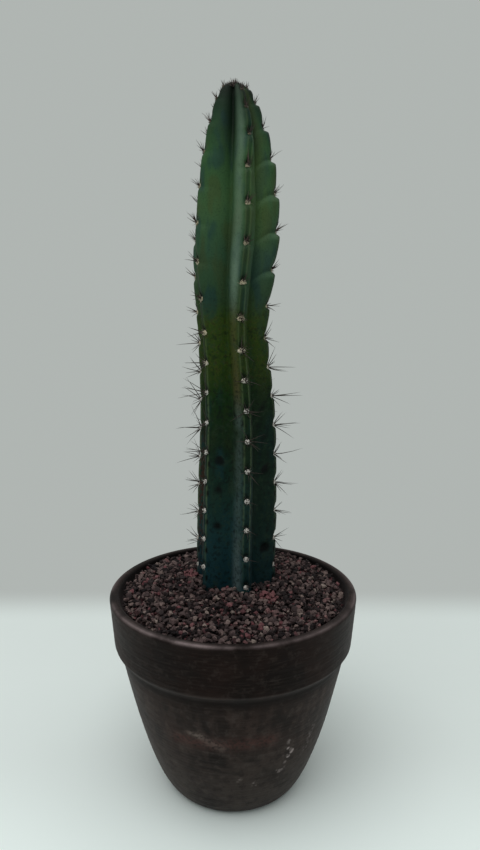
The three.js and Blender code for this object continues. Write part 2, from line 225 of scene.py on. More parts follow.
def floor_sockets(start):
    """Pale board with painted light near the viewer, where it is paler and glows a little, and past the sweep
    a wall that shines by itself.
    """
    place, _ = place_of(start)
    away = start.node("SeparateXYZ", {}, {0: place}, "Y")
    wall = away.rising(WALL_PLACE - SWEEP, WALL_PLACE + SWEEP)
    near = away.falling(*NEAR_EDGE)
    pale = (0.75 * near + 0.25 * noise(place, 6.0, 3.0)).blend(FLOOR_TONE, NEAR_LIGHT_TONE)
    return {
        "Base Color": wall.blend(pale, BLACK), "Roughness": 0.7, "Specular IOR Level": 0.0,
        "Emission Color": wall.blend(near.blend(BLACK, NEAR_LIGHT_GLOW), BACKDROP), "Emission Strength": 1.0,
    }


def link_mesh(name, points, faces, material, smooth=True, marks=None):
    """Makes an object from points and faces. Each mark is a number for every point."""
    mesh = bpy.data.meshes.new(name)
    mesh.from_pydata(np.asarray(points).tolist(), [], faces)
    for mark, values in (marks or {}).items():
        layer = mesh.attributes.new(mark, "FLOAT", "POINT")
        layer.data.foreach_set("value", np.asarray(values, np.float32))
    mesh.polygons.foreach_set("use_smooth", [smooth] * len(mesh.polygons))
    mesh.materials.append(material)
    made = bpy.data.objects.new(name, mesh)
    bpy.context.collection.objects.link(made)
    print(name, len(points), "points,", sum(len(f) - 2 for f in faces), "triangles")
    return made


corners = [(x * FLOOR_HALF, y * FLOOR_HALF, 0) for x, y in ((-1, -1), (1, -1), (1, 1), (-1, 1))]
floor = link_mesh("floor", corners, [(0, 1, 2, 3)], finish("pale_board", floor_sockets))

# %% [markdown]
# The light is that of a room, and the world gives most of it: bright overhead, softer at the sides
# and behind, and dim in front, where the viewer stands. One wide soft lamp overhead gives the
# shadows their direction. The camera itself sees the world as the plain pale wall.

# %% Light of the room
SKY_TOP = 0.86
SKY_FRONT = 0.03
SKY_BACK = 0.40
SKY_LEFT = 0.34
SKY_RIGHT = 0.18
SIDE_EDGE = (0.1, 0.95)

world = bpy.data.worlds.new("room")
bpy.context.scene.world = world
world.use_nodes = True
world.node_tree.nodes.clear()
start = Wire(world.node_tree)
way = start.node("TexCoord", out="Generated")
toward = {axis: start.node("SeparateXYZ", {}, {0: way}, axis) for axis in "XYZ"}
side = SKY_FRONT + SKY_BACK * toward["Y"].rising(-0.2, 0.8)
side = side + SKY_LEFT * (0 - toward["X"]).rising(*SIDE_EDGE) + SKY_RIGHT * toward["X"].rising(*SIDE_EDGE)
overhead = toward["Z"].rising(0.25, 0.95)
glow = side + overhead * (SKY_TOP - side)
seen = start.node("LightPath", out="Is Camera Ray")
room = start.node("Background", {}, {"Color": (0.97, 1.0, 0.985, 1.0), "Strength": glow})
wall = start.node("Background", {}, {"Color": BACKDROP, "Strength": 1.0})
both = start.node("MixShader", {}, {0: seen, 1: room, 2: wall})
start.node("OutputWorld", {}, {"Surface": both})
print("room light: top", SKY_TOP, "back", SKY_FRONT + SKY_BACK, "front", SKY_FRONT)

# %% Overhead lamp
LAMP_PLACE = (-0.22, -0.52, 1.25)
LAMP_SIZE = 0.9
LAMP_WATTS = 5.2
LAMP_AIM = (0, 0, 0.3)

lamp = bpy.data.objects.new("overhead_lamp", bpy.data.lights.new("overhead_lamp", "AREA"))
bpy.context.collection.objects.link(lamp)
lamp.data.size = LAMP_SIZE
lamp.data.energy = LAMP_WATTS
lamp.location = LAMP_PLACE
lamp.rotation_euler = (Vector(LAMP_AIM) - lamp.location).to_track_quat("-Z", "Y").to_euler()
print("lamp of", LAMP_WATTS, "W at", LAMP_PLACE)

# %% [markdown]
# The stem is a column of six ribs. Each crest carries a ladder of areoles, the woolly cushions that
# spines grow from, and the skin leans out from one areole to a shoulder under the next. The solid
# has that form in few faces. Here the same formula is read at many more places, in millimetres, and
# the finer marks of growth are added to it.

# %% Smooth curves
MM = 0.001


def smooth_step(low, high, at):
    """0 below low, 1 above high, and a smooth step between them, for numbers and arrays."""
    u = np.clip((at - low) / (high - low), 0, 1)
    return u * u * (3 - 2 * u)


def between(edges, at):
    """1 between the middle two of four edges, fading to 0 at the outer two."""
    return smooth_step(edges[0], edges[1], at) * (1 - smooth_step(edges[2], edges[3], at))


def bell(distance, reach):
    """1 at no distance, fading to nothing some way past reach."""
    return np.exp(-(distance / reach) ** 2)


def smooth_through(pairs, at):
    """Reads the smooth curve through [position, value] pairs."""
    place, value = np.array(pairs, float).T
    before = np.maximum(np.arange(len(place)) - 1, 0)
    after = np.minimum(np.arange(len(place)) + 1, len(place) - 1)
    slope = (value[after] - value[before]) / (place[after] - place[before])
    at = np.clip(at, place[0], place[-1])
    k = np.clip(np.searchsorted(place, at, side="right") - 1, 0, len(place) - 2)
    span = place[k + 1] - place[k]
    u = (at - place[k]) / span
    v = 1 - u
    ends = value[k] * v * v * (1 + 2 * u) + value[k + 1] * u * u * (1 + 2 * v)
    return ends + span * u * v * (slope[k] * v - slope[k + 1] * u)


# %% Directions and lumps
def unit(ways):
    """The same directions, each made one long."""
    return ways / np.linalg.norm(ways, axis=1, keepdims=True)


def facing(angle):
    """The level direction at an angle round the stem or the pot, counted from the front."""
    return np.stack([np.sin(angle), -np.cos(angle), 0 * angle], -1)


def all_round(count):
    """Angles of so many equal steps round a circle."""
    return np.arange(count) * 2 * math.pi / count


def lumps(points, size, seed, waves=14):
    """A smooth random field, mostly from -1 to 1, whose lumps are about size across."""
    random = np.random.default_rng(seed)
    ways = unit(random.normal(size=(waves, 3)))
    ways *= math.pi / size * random.uniform(0.6, 1.5, (waves, 1))
    shifts = random.uniform(0, 2 * math.pi, waves)
    return np.sin(points @ ways.T + shifts).sum(axis=1) * math.sqrt(2 / waves) * 0.6


def swelling(points, kinds, seed):
    """The sum of several lumpy fields, each with a height and a size."""
    return sum(high * lumps(points, size, seed + n) for n, (high, size) in enumerate(kinds))


# %% Driving sizes of the stem
STEM_X = 1.5
STEM_Y = 14
FIRST_ROW = 171
LAST_ROW = 17.5
ROW_SPACING = 23.6
APEX_HEIGHT = 555
OLD_TOP = 290
YOUNG_BOTTOM = 430
# Two values in brackets are for the old growth below and for the young growth on top.
RIB_DEPTH = (0.35, 0.41)
VALLEY_ROUNDING = (2.1, 1.0)
STEP_HEIGHT = (1.6, 3.2)
STEP_RISE = (0.5, 0.86)
STEP_FADE = 3.2
SOFT_FLANK_FADE = 1.6
STEP_SOFTENING = 0.4
SMALL_CREST = 24
SHOULDER = 0.86
CREST_ROUNDING = 1.7
VALLEY_BLEND = 0.45
# Heights between which the valleys of the tip deepen, and by which share.
TIP_DEEPENING = (490, 540, 0.3)
FURROW_SLOPE = 0.1
FRONT_RIB = 3
# Degrees round the stem from the front, of each crest and of the valley to its right.
RIB_CREST = np.array([-160, -102, -52, 16, 83, 140])
RIB_VALLEY = np.array([-130, -76, -10, 43, 113, 170])
# The rows by which each rib's ladder is shifted, and the strength of its steps.
RIB_PHASE = np.array([0.72, 0.2, 0.56, 0, 0.38, 0.8])
RIB_STEP = np.array([1, 0.7, 0.42, 1, 1.3, 1])
# Degrees by which crests and valleys turn, and the heights between which they do.
CREST_TURN = np.array([0, -6, -17, 12, 0, 0])
VALLEY_TURN = np.array([-3, -12, 0, 6, 0, 0])
TURN_FROM = np.array([380, 380, 380, 480, 480, 480])
TURN_TO = np.array([480, 480, 480, 530, 530, 530])
# Height and radius of the crests, and height and shift of the axis.
CREST_OUTLINE = [
    [160, 33.1], [225, 32.9], [262, 31.9], [308, 30.3], [340, 28.6], [368, 27.3], [391, 28.9],
    [415, 31.4], [440, 32.9], [463, 32], [486, 29.7], [504, 26.9], [520, 22.9], [535, 18.2],
    [545, 14.2], [550, 11], [553, 7.8], [APEX_HEIGHT, 4.2],
]
AXIS_WANDER = [
    [140, 0], [200, 0.2], [290, 1.8], [330, 0.4], [372, -2.4], [412, -1.6], [460, 1.2], [510, 1.4],
    [555, 0],
]
# Where the rows stand wider or closer: the middle row, the reach in rows and the change.
WIDE_ROWS = (11, 1.9, 5)
CLOSE_ROWS = (7.6, 0.9, -1.2)
CROWDED_ROWS = (15.7, 0.72)
LADDER_STEP = 1 / 16
LADDER_ROWS = 20


# %% Rows and axis
def row_spacing(row):
    """Distance from one row of areoles to the next, which shrinks to nothing at the tip."""
    extra = sum(change * bell(row - middle, reach) for middle, reach, change in (WIDE_ROWS, CLOSE_ROWS))
    middle, reach = CROWDED_ROWS
    return (ROW_SPACING + extra) / (1 + np.exp((row - middle) / reach))


steps = (np.arange(LADDER_ROWS / LADDER_STEP) + 0.5) * LADDER_STEP
LADDER = FIRST_ROW + np.concatenate([[0], np.cumsum(LADDER_STEP * row_spacing(steps))])


def row_height(row):
    """Height of a row of areoles, or of a place between two rows."""
    above = np.interp(row, np.arange(len(LADDER)) * LADDER_STEP, LADDER)
    return np.where(row <= 0, FIRST_ROW + row * ROW_SPACING, above)


def axis_x(height):
    """Where the axis of the stem is, since it wanders a little to the sides."""
    return STEM_X + smooth_through(AXIS_WANDER, height)


def by_age(ends, height):
    """A value that changes from the old growth to the young."""
    return ends[0] + (ends[1] - ends[0]) * smooth_step(OLD_TOP, YOUNG_BOTTOM, height)


print("rows from", FIRST_ROW, "to", round(float(row_height(np.array(LAST_ROW))), 1), "mm")

# %% [markdown]
# A place on the skin is given by its rib, how far it is across the rib, and its row on the ladder.
# From that follow its height, its angle round the stem and its radius. The radius swells towards
# each shoulder and steps in above it, where the next areole sits.

# %% Places on the skin
def turning(most, rib, height):
    """Degrees by which a crest or valley has turned from its course at a height."""
    return most[rib] * smooth_step(TURN_FROM[rib], TURN_TO[rib], height)


def skin_place(rib, across, row):
    """Where the skin is at a rib, a place across it and a row, with all that shapes it there."""
    off = np.abs(across)
    beside = np.where(across < 0, rib - 1, rib + 1) % len(RIB_CREST)
    phase = RIB_PHASE[rib] + (RIB_PHASE[beside] - RIB_PHASE[rib]) * smooth_step(VALLEY_BLEND, 1, off) / 2
    height = row_height(row + phase - FURROW_SLOPE * off)
    crest = smooth_through(CREST_OUTLINE, height)
    valley = np.where(across < 0, rib - 1, rib)
    compass = RIB_CREST[rib] + turning(CREST_TURN, rib, height)
    end = RIB_VALLEY[valley] + turning(VALLEY_TURN, valley, height)
    turn = (end - compass + 540) % 360 - 180
    low, high, share = TIP_DEEPENING
    depth = by_age(RIB_DEPTH, height) * (1 + share * smooth_step(low, high, height))
    profile = (1 - off ** CREST_ROUNDING) ** by_age(VALLEY_ROUNDING, height)
    s = row - np.floor(row)
    rest = np.maximum(0, 1 - s / by_age(STEP_RISE, height))
    bulge = 0.5 - rest ** 2 - smooth_step(SHOULDER - STEP_SOFTENING * off, 1, s)
    small = np.minimum(1, crest / SMALL_CREST)
    fade = STEP_FADE + SOFT_FLANK_FADE * ((rib == FRONT_RIB) & (across < 0))
    relief = by_age(STEP_HEIGHT, height) * RIB_STEP[rib] * small * (1 - off) ** fade * bulge
    gap = row_spacing(row + phase)
    return {
        "off": off, "height": height, "angle": np.radians(compass + turn * off), "small": small, "s": s,
        "radius": crest * (1 - depth * (1 - profile)) + relief,
        "aside": np.radians(np.abs(turn)) * off * crest, "front": rib == FRONT_RIB,
        "above": s * gap, "below": (1 - s) * gap,
    }


# %% [markdown]
# Growth leaves its marks. A crest is flat, with a shallow groove between two pale lines. Above each
# areole is a small dent. On old growth the flanks have dimples beside and below the areoles, and
# short slits nearer to the crest. Each mark is worked out once, as a depth and as a mask, so that its
# colour lies exactly on its shape. The dark of the grooves, dents, dimples and slits is painted shade.

# %% Dimples of the old growth
DIMPLE_PLACE = 11.0
DIMPLE_DROP = 4.6
DIMPLE_REACH = 3.9
SLIT_PLACE = 3.4
SLIT_DROP = 8.5
SLIT_REACH = (1.0, 3.0)
DIMPLES_FADE = (285, 345)
MARK_ROWS = 24
MARK_POWER = (0.1, 1.5)
DROP_CHANGE = (-2, 3)
# Strength and drop of the dimples that face the viewer, for a rib and a side, from the foot up.
SEEN_DIMPLES = {
    (2, 1): [(0, 0), (0.15, 0), (0.85, 6), (0.75, 0), (1, 0)],
    (3, 0): [(0, 0), (0, 0), (0.15, 0), (0, 0), (0.4, 4)],
    (3, 1): [(0, 0), (0.3, 0), (0, 0), (0, 0), (0.2, 0)],
    (4, 0): [(0, 0), (1.3, 0), (0.35, 0), (0.1, 0), (1, 5)],
}

random = np.random.default_rng(3)
slit_power = np.minimum(1, random.uniform(*MARK_POWER, (len(RIB_CREST), 2, MARK_ROWS)))
dimple_power = slit_power.copy()
dimple_drop = DIMPLE_DROP + random.uniform(*DROP_CHANGE, slit_power.shape)
for (rib, side), dimples in SEEN_DIMPLES.items():
    for row, (power, drop) in enumerate(dimples):
        dimple_power[rib, side, row] = power
        dimple_drop[rib, side, row] = DIMPLE_DROP + drop
print(slit_power.size, "dimples drawn, the strong ones of the front set by hand")


def dimples_at(rib, across, row, at):
    """Masks of the dimples and of the slits. Each belongs to the areole above it."""
    owner = (rib, (across > 0).astype(int), np.clip(np.ceil(row).astype(int), 0, MARK_ROWS - 1))
    old = 1 - smooth_step(*DIMPLES_FADE, at["height"])
    dimple = bell(at["aside"] - DIMPLE_PLACE, DIMPLE_REACH)
    dimple = dimple * bell(at["below"] - dimple_drop[owner], DIMPLE_REACH)
    slit = bell(at["aside"] - SLIT_PLACE, SLIT_REACH[0]) * bell(at["below"] - SLIT_DROP, SLIT_REACH[1])
    return dimple * dimple_power[owner] * old, slit * slit_power[owner] * old


# %% Tones of the skin
# Shares of a step, degrees round the stem and shares of a flank, between which a tone lies.
LIT_SHOULDER = (0.76, 0.9, 0.94, 1)
RIGHT_FLANK = (20, 34, 110, 150)
LEFT_FLANK = (-104, -94, -70, -56)
WAXY_LIT_FLANK = (0.14, 0.45, 0.5, 1)
# Heights between which the step tones come in and then weaken, and middle and reach of the cork.
STEPS_LIT = (385, 430)
STEPS_DULL = (488, 515)
CORK_HEIGHT = 238
CORK_REACH = 46


def step_tones(rib, at):
    """Masks of the painted highlight on the shoulder at each step of the young growth, and of the painted
    shade above it.
    """
    stepped = smooth_step(*STEPS_LIT, at["height"]) * (1 - 0.7 * at["front"]) * RIB_STEP[rib] ** 1.5
    stepped = stepped * (1 - at["off"]) ** np.where(rib == FRONT_RIB + 1, 0.8, 2)
    stepped = stepped * (1 - 0.8 * smooth_step(*STEPS_DULL, at["height"]))
    shade = (1 - smooth_step(0.03, 0.17, at["s"])) * stepped
    return {"step": between(LIT_SHOULDER, at["s"]) * stepped, "shade": shade}


def broad_tones(rib, across, at):
    """Masks of the tones that spread over whole flanks and valleys: painted shade on the right side and in
    the valleys near the tip, painted light in the open valley, cork, and wax bloom with a painted highlight.
    """
    height, off = at["height"], at["off"]
    turn = (np.degrees(at["angle"]) + 180) % 360 - 180
    right, left = between(RIGHT_FLANK, turn), between(LEFT_FLANK, turn)
    open_valley = np.where(across > 0, rib == FRONT_RIB, rib == FRONT_RIB + 1)
    waxy_and_lit = np.where(at["front"], 1, np.where(rib == FRONT_RIB + 1, 0.12, 0.4)) * (across < 0)
    return {
        "dusk": right * (1 - smooth_step(300, 360, height)) * (0.5 + 0.5 * smooth_step(165, 225, height)),
        "cork": left * bell(height - CORK_HEIGHT, CORK_REACH),
        "sunny": open_valley * smooth_step(0.35, 0.85, off) * smooth_step(405, 450, height),
        "wax": waxy_and_lit * between(WAXY_LIT_FLANK, off),
        "crease": smooth_step(0.4, 0.95, off) * smooth_step(470, 525, height),
    }


# %% Marks on the crest
EDGE_LINE = (2.7, 1.8)
EDGE_RISE = 0.28
EDGE_REACH = 0.6
EDGE_BREAK = 2.6
GROOVE_DEPTH = 0.55
GROOVE_SHIFT = 0.7
GROOVE_REACH = 1.7
DENT_DEPTH = 1.5
DENT_RISE = 3.2
DENT_REACH = (2.5, 1.9)
DIMPLE_DEPTH = 1.6
SLIT_DEPTH = 0.7


def skin_marks(rib, across, row, at):
    """Depth of the fine relief at a place on the skin, and the masks for its colours."""
    aside, small, height = at["aside"], at["small"], at["height"]
    clear = 1 - bell(np.minimum(at["above"], at["below"]), EDGE_BREAK)
    edge = bell(aside - by_age(EDGE_LINE, height), EDGE_REACH) * clear * small
    groove = bell(aside * np.sign(across) + GROOVE_SHIFT, GROOVE_REACH) * small
    dent = bell(aside, DENT_REACH[0]) * bell(at["above"] - DENT_RISE, DENT_REACH[1]) * small
    dimple, slit = dimples_at(rib, across, row, at)
    relief = EDGE_RISE * edge - GROOVE_DEPTH * groove - DENT_DEPTH * dent
    relief = relief - DIMPLE_DEPTH * dimple - SLIT_DEPTH * slit
    dull = (0.4 + 0.4 * (1 - at["front"])) * smooth_step(OLD_TOP, YOUNG_BOTTOM, height)
    pale = np.where(across > 0, 1, 0.6) * (1 - dull) * smooth_step(150, 225, height)
    masks = {"edge": edge * pale, "groove": groove, "dent": dent,
             "dimple": smooth_step(0.15, 0.7, np.maximum(dimple, slit))}
    return relief, {**masks, **step_tones(rib, at), **broad_tones(rib, across, at)}


def skin_point(rib, across, row):
    """Points of the skin in millimetres, with what shapes it there and the masks for its colours."""
    rib, across, row = np.broadcast_arrays(rib, across, row)
    at = skin_place(rib, across, row)
    relief, masks = skin_marks(rib, across, row, at)
    radius = at["radius"] + relief
    x = axis_x(at["height"]) + radius * np.sin(at["angle"])
    y = STEM_Y - radius * np.cos(at["angle"])
    return np.stack([x, y, at["height"]], axis=-1), at, masks


# %% [markdown]
# The skin is one closed sheet of quads. Its rings lie closest where the skin steps in above a
# shoulder, and its columns lie closest on the crests, because that is where the form turns fastest.
# The root crown below is buried, round and plain.

# %% Skin
# Places of the columns from a crest to its valley, and of the rings from one row to the next.
HALF_RIB = np.array([0, 0.03, 0.06, 0.085, 0.11, 0.135, 0.16, 0.185, 0.22, 0.27, 0.34, 0.42, 0.5, 0.58, 0.66,
                     0.74, 0.82, 0.91])
ROW_STEPS = np.array([0, 0.05, 0.1, 0.16, 0.22, 0.3, 0.4, 0.5, 0.6, 0.7, 0.78, 0.84, 0.88, 0.91, 0.94, 0.97])
ROOT_TIP = (86, 10)
ROOT_NECK = (138, 21)
ROWS_READ = (-0.7, LAST_ROW - 0.3)
GROWTH_LUMPS = ((0.22, 16), (0.07, 3.2))


def skin_grid():
    """The ribs, places across them and rows at which the skin is read."""
    across = np.concatenate([-HALF_RIB[:0:-1], HALF_RIB, [1]])
    rib = np.repeat(np.arange(len(RIB_CREST)), len(across))
    across = np.tile(across, len(RIB_CREST))
    rows = (np.arange(-1, math.ceil(LAST_ROW))[:, None] + ROW_STEPS).ravel()
    rows = rows[(rows >= ROWS_READ[0]) & (rows < ROWS_READ[1])]
    return rib[None, :], across[None, :], rows[:, None]


def root_rings(angle):
    """Rings of the buried root crown, from its blunt tip up to the neck."""
    up = np.array([0, 0.05, 0.15, 0.3, 0.5, 0.75, 1])[:, None]
    height = ROOT_TIP[0] + (ROOT_NECK[0] - ROOT_TIP[0]) * up
    radius = ROOT_TIP[1] + (ROOT_NECK[1] - ROOT_TIP[1]) * up ** 0.7
    return [STEM_X, STEM_Y, 0] + facing(angle) * radius[..., None] + height[..., None] * [0, 0, 1]


def ring_quads(rings, columns, joined=False):
    """Quads between stacked rings of points. When joined, the last ring meets the first."""
    i, j = np.meshgrid(np.arange(rings if joined else rings - 1), np.arange(columns), indexing="ij")
    n, k = (i + 1) % rings, (j + 1) % columns
    quads = np.stack([i * columns + j, i * columns + k, n * columns + k, n * columns + j], -1)
    return quads.reshape(-1, 4).tolist()


def closed_tube(rings, columns):
    """Faces of stacked rings, and a fan at each end round two last points, the bottom and the top."""
    bottom, top, last = rings * columns, rings * columns + 1, (rings - 1) * columns
    ring = [(c, (c + 1) % columns) for c in range(columns)]
    fans = [(bottom, b, a) for a, b in ring] + [(top, last + a, last + b) for a, b in ring]
    return ring_quads(rings, columns) + fans


# %% Skin mesh
rib, across, rows = skin_grid()
skin, at, masks = skin_point(rib, across, rows)
roots = root_rings(np.broadcast_to(at["angle"][0], (1, rib.shape[1])))
flat = skin.reshape(-1, 3)
growth = swelling(flat, GROWTH_LUMPS, 1)
flat = flat + facing(at["angle"]).reshape(-1, 3) * growth[:, None]
spare = np.zeros(roots.shape[0] * roots.shape[1])
ends = np.array([[STEM_X, STEM_Y, ROOT_TIP[0]], [axis_x(APEX_HEIGHT), STEM_Y, APEX_HEIGHT]])
marks = {key: np.concatenate([spare, np.broadcast_to(mask, at["off"].shape).ravel(), [0, 0]])
         for key, mask in masks.items()}
points = np.concatenate([roots.reshape(-1, 3), flat, ends]) * MM
faces = closed_tube(len(roots) + len(rows), rib.shape[1])
print("skin of", len(rows), "rings and", rib.shape[1], "columns")

# %% [markdown]
# The skin is a waxy green that changes with age: fresh green at the top, a yellow-green band at the
# waist where growth paused, and dark blue-green below. A bluish bloom of wax lies on the flanks, and
# on the flanks that face the left it carries a painted highlight. A corky brown tone creeps up one
# side. Painted shade darkens the right side low down, the valleys near the tip, the grooves and dents,
# and the dimples and slits, which are nearly black. Painted light brightens the open valley and the
# shoulder under each step. A ramp over the height gives the ages, and the masks from the skin's own
# formula lay the marks on it.

# %% Ages of the skin
# Height in metres and ground colour of each age.
SKIN_AGES = [
    (0.160, (17, 47, 57)), (0.195, (19, 49, 53)), (0.230, (14, 43, 38)), (0.283, (7, 31, 13)),
    (0.322, (9, 38, 4)), (0.348, (32, 52, 4)), (0.380, (40, 60, 12)), (0.400, (39, 63, 38)),
    (0.430, (42, 70, 48)), (0.465, (52, 81, 47)), (0.505, (43, 76, 42)), (0.530, (22, 50, 30)),
    (0.548, (4, 20, 8)), (0.555, (2, 14, 6)),
]


def skin_ages(height, cloudy):
    """The ground colour at a height, with the borders of the ages made uneven."""
    low, high = SKIN_AGES[0][0], SKIN_AGES[-1][0]
    age = (height + 0.02 * (cloudy - 0.5) - low) * (1 / (high - low))
    return ramp(age, [((z - low) / (high - low), colour) for z, colour in SKIN_AGES])


def wax_bloom(height, fresh, cloudy):
    """How much bloom, with the painted highlight that goes with it, lies on the skin, by height."""
    bloom = (0.2 + 0.28 * fresh - 0.06 * height.rising(0.43, 0.47) + 0.25 * height.falling(0.17, 0.23))
    bloom = bloom + 0.17 * height.rising(0.395, 0.41) * height.falling(0.43, 0.445)
    bloom = bloom + 0.12 * height.rising(0.29, 0.315) * height.falling(0.335, 0.355)
    return bloom * cloudy.rising(0.15, 0.5) * (1 - 0.6 * height.rising(0.515, 0.55))


# %% Skin finish
def skin_sockets(start):
    """The ages, patches and the bloom with its painted highlight first, and then the marks of growth, with
    painted light and shade, over them.
    """
    place, height = place_of(start)
    mark = masks_of(start, marks)
    cloudy, spots, speckle = noise(place, 45.0, 3.0), noise(place, 380.0, 1.0), noise(place, 900.0)
    patches = noise(stretched(place, (1.0, 1.0, 0.35)), 85.0)
    mottle = noise(place, 230.0, 3.0, 0.6)
    waist = height.rising(0.30, 0.33) * height.falling(0.375, 0.40)
    fresh = height.rising(0.36, 0.42)
    old = height.falling(0.37, 0.42)
    warm = (0.14 + 0.2 * fresh) * height.falling(0.505, 0.53)
    green = coats(skin_ages(height, cloudy), [
        ((0.5 - 0.2 * waist) * patches.rising(0.5, 0.66), (10, 44, 50)),
        (warm * patches.falling(0.34, 0.5), (54, 56, 18)),
    ])
    wax = waist.blend(fresh.blend(paint(112, 128, 126), paint(108, 130, 110)), paint(108, 92, 66))
    # The bloom of wax is partly a painted highlight, on the flanks that face the left.
    green = coats((wax_bloom(height, fresh, cloudy) * mark["wax"]).blend(green, wax), [
        # Painted shade on the right side, low down.
        (0.7 * mark["dusk"], (3, 24, 11)),
        # Painted light in the open valley beside the front rib.
        ((0.18 + 0.14 * height.rising(0.47, 0.495)) * mark["sunny"], (104, 128, 66)),
        (0.45 * old * mottle.rising(0.53, 0.66), (32, 48, 32)),
        (0.5 * old * mottle.falling(0.34, 0.47), (2, 10, 8)),
        # Painted shade in the valleys near the tip.
        (0.8 * mark["crease"], (2, 12, 4)),
        # A painted highlight on the shoulder under each step, and painted shade above it.
        (0.34 * mark["step"], (98, 128, 98)),
        (0.35 * mark["shade"], (6, 24, 12)),
        (0.85 * mark["cork"] * spots.rising(0.42, 0.55), (52, 24, 16)),
        # Painted shade in the grooves.
        (0.5 * mark["groove"], (14, 30, 14)),
        (0.42 * mark["edge"], (104, 122, 84)),
        # Painted shade in the dimples and slits, nearly black, and in the dents.
        (0.95 * mark["dimple"], (0, 3, 3)),
        (0.85 * mark["dent"], (5, 11, 6)),
        (0.35 * speckle.rising(0.5, 0.75), (13, 32, 20)),
        (0.2 * waist * height.rising(0.32, 0.345) * spots.rising(0.5, 0.7), (88, 88, 30)),
        (0.5 * (1 - fresh) * spots.rising(0.6, 0.7), (6, 12, 6)),
    ])
    return {
        "Base Color": green, "Roughness": 0.5 + 0.2 * cloudy, "Specular IOR Level": 0.11,
        "Normal": bumpy(speckle, 0.35, 0.0006),
    }


cactus = link_mesh("cactus_skin", points, faces, finish("waxy_skin", skin_sockets), True, marks)
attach(cactus, "root")
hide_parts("cactus")

# %% [markdown]
# An areole is a small cushion of felt on the crest. Each has a place and three directions: out of
# the stem, up along the crest and sideways. Pads, wool and spines are all placed by them.

# %% Areoles
LAST_AREOLE = LAST_ROW - 0.6


def areoles():
    """Place and directions of every areole, as arrays."""
    rib, row = np.array([(rib, row) for rib in range(len(RIB_CREST)) for row in range(math.ceil(LAST_ROW))
                         if row + RIB_PHASE[rib] < LAST_AREOLE]).T
    place, at, _ = skin_point(rib, 0.0, row)
    up = skin_point(rib, 0.0, row + 0.2)[0] - skin_point(rib, 0.0, row - 0.2)[0]
    up, side = unit(up), facing(at["angle"] + math.pi / 2)
    return {"place": place, "up": up, "side": side, "out": np.cross(side, up)}


AREOLE = areoles()
COUNT = len(AREOLE["place"])
print(COUNT, "areoles")


def leaning(which, tilt, clock):
    """Directions at some areoles, leaning from straight out by tilt towards a clock angle."""
    up = AREOLE["up"][which] * (np.sin(tilt) * np.sin(clock))[:, None]
    side = AREOLE["side"][which] * (np.sin(tilt) * np.cos(clock))[:, None]
    return AREOLE["out"][which] * np.cos(tilt)[:, None] + up + side


# %% [markdown]
# Hairs and spines are both tapered spikes, slightly bowed, in their hundreds. So one helper draws
# them all at once, each as a closed tube with few sides and a pointed tip.

# %% Tapered spikes
HAIR_SHAPE = [(0, 1), (0.5, 0.7), (1, 0)]


def spikes(root, way, bend, length, radius, sides, shape):
    """Points and faces of many spikes, and how far along its spike each point is. The shape is a
    list of shares of the length and of the radius, from the root to the tip."""
    along, thick = np.array(shape, float).T
    centre = (root[:, None] + way[:, None] * (length[:, None] * along)[..., None]
              + bend[:, None] * (length[:, None] * along ** 2)[..., None])
    across = unit(np.cross(way, np.where(np.abs(way[:, 2:]) < 0.9, [0.0, 0, 1], [1.0, 0, 0])))
    other = np.cross(way, across)
    turn = all_round(sides)
    rim = across[:, None] * np.cos(turn)[:, None] + other[:, None] * np.sin(turn)[:, None]
    body = centre[:, :-1, None] + rim[:, None] * (radius[:, None] * thick)[:, :-1, None, None]
    count, rings = body.shape[:2]
    points = np.concatenate([body.reshape(count, -1, 3), centre[:, -1:], centre[:, :1]], axis=1)
    last, tip, base = (rings - 1) * sides, rings * sides, rings * sides + 1
    one = ring_quads(rings, sides) + [(last + j, last + (j + 1) % sides, tip) for j in range(sides)]
    one += [((j + 1) % sides, j, base) for j in range(sides)]
    share = np.concatenate([np.repeat(along[:-1], sides), [1, 0]])
    return points.reshape(-1, 3), repeated(one, count, points.shape[1]), np.tile(share, count)


def repeated(faces, count, step):
    """The same faces again for each copy, whose points come one step later."""
    return [tuple(n * step + v for v in face) for n in range(count) for face in faces]


# %% [markdown]
# The felt of an areole is short, dense and pale. A low lumpy dome gives its body, and fine tapered
# hairs stand out of it. Old pads are round and whitish. Young ones are smaller and browner.

# %% Felt pads
# Half width, half height and rise of a pad, and the heights between which they change.
PAD_OLD = (2.15, 2.05, 1.8)
PAD_MIDDLE = (3.3, 2.1, 1.5)
PAD_YOUNG = (1.8, 1.4, 1.0)
PAD_HEIGHTS = (325, 352, 465, 520)
PAD_DROOP = 0.08
PAD_BEND = 0.62
PAD_AROUND = 14
PAD_RINGS = 5
PAD_LUMPS = ((0.22, 0.9),)


def pad_size(height):
    """Half width, half height and rise of a pad."""
    sizes = zip(PAD_OLD, PAD_MIDDLE, PAD_MIDDLE, PAD_YOUNG)
    return [np.interp(height, PAD_HEIGHTS, size) for size in sizes]


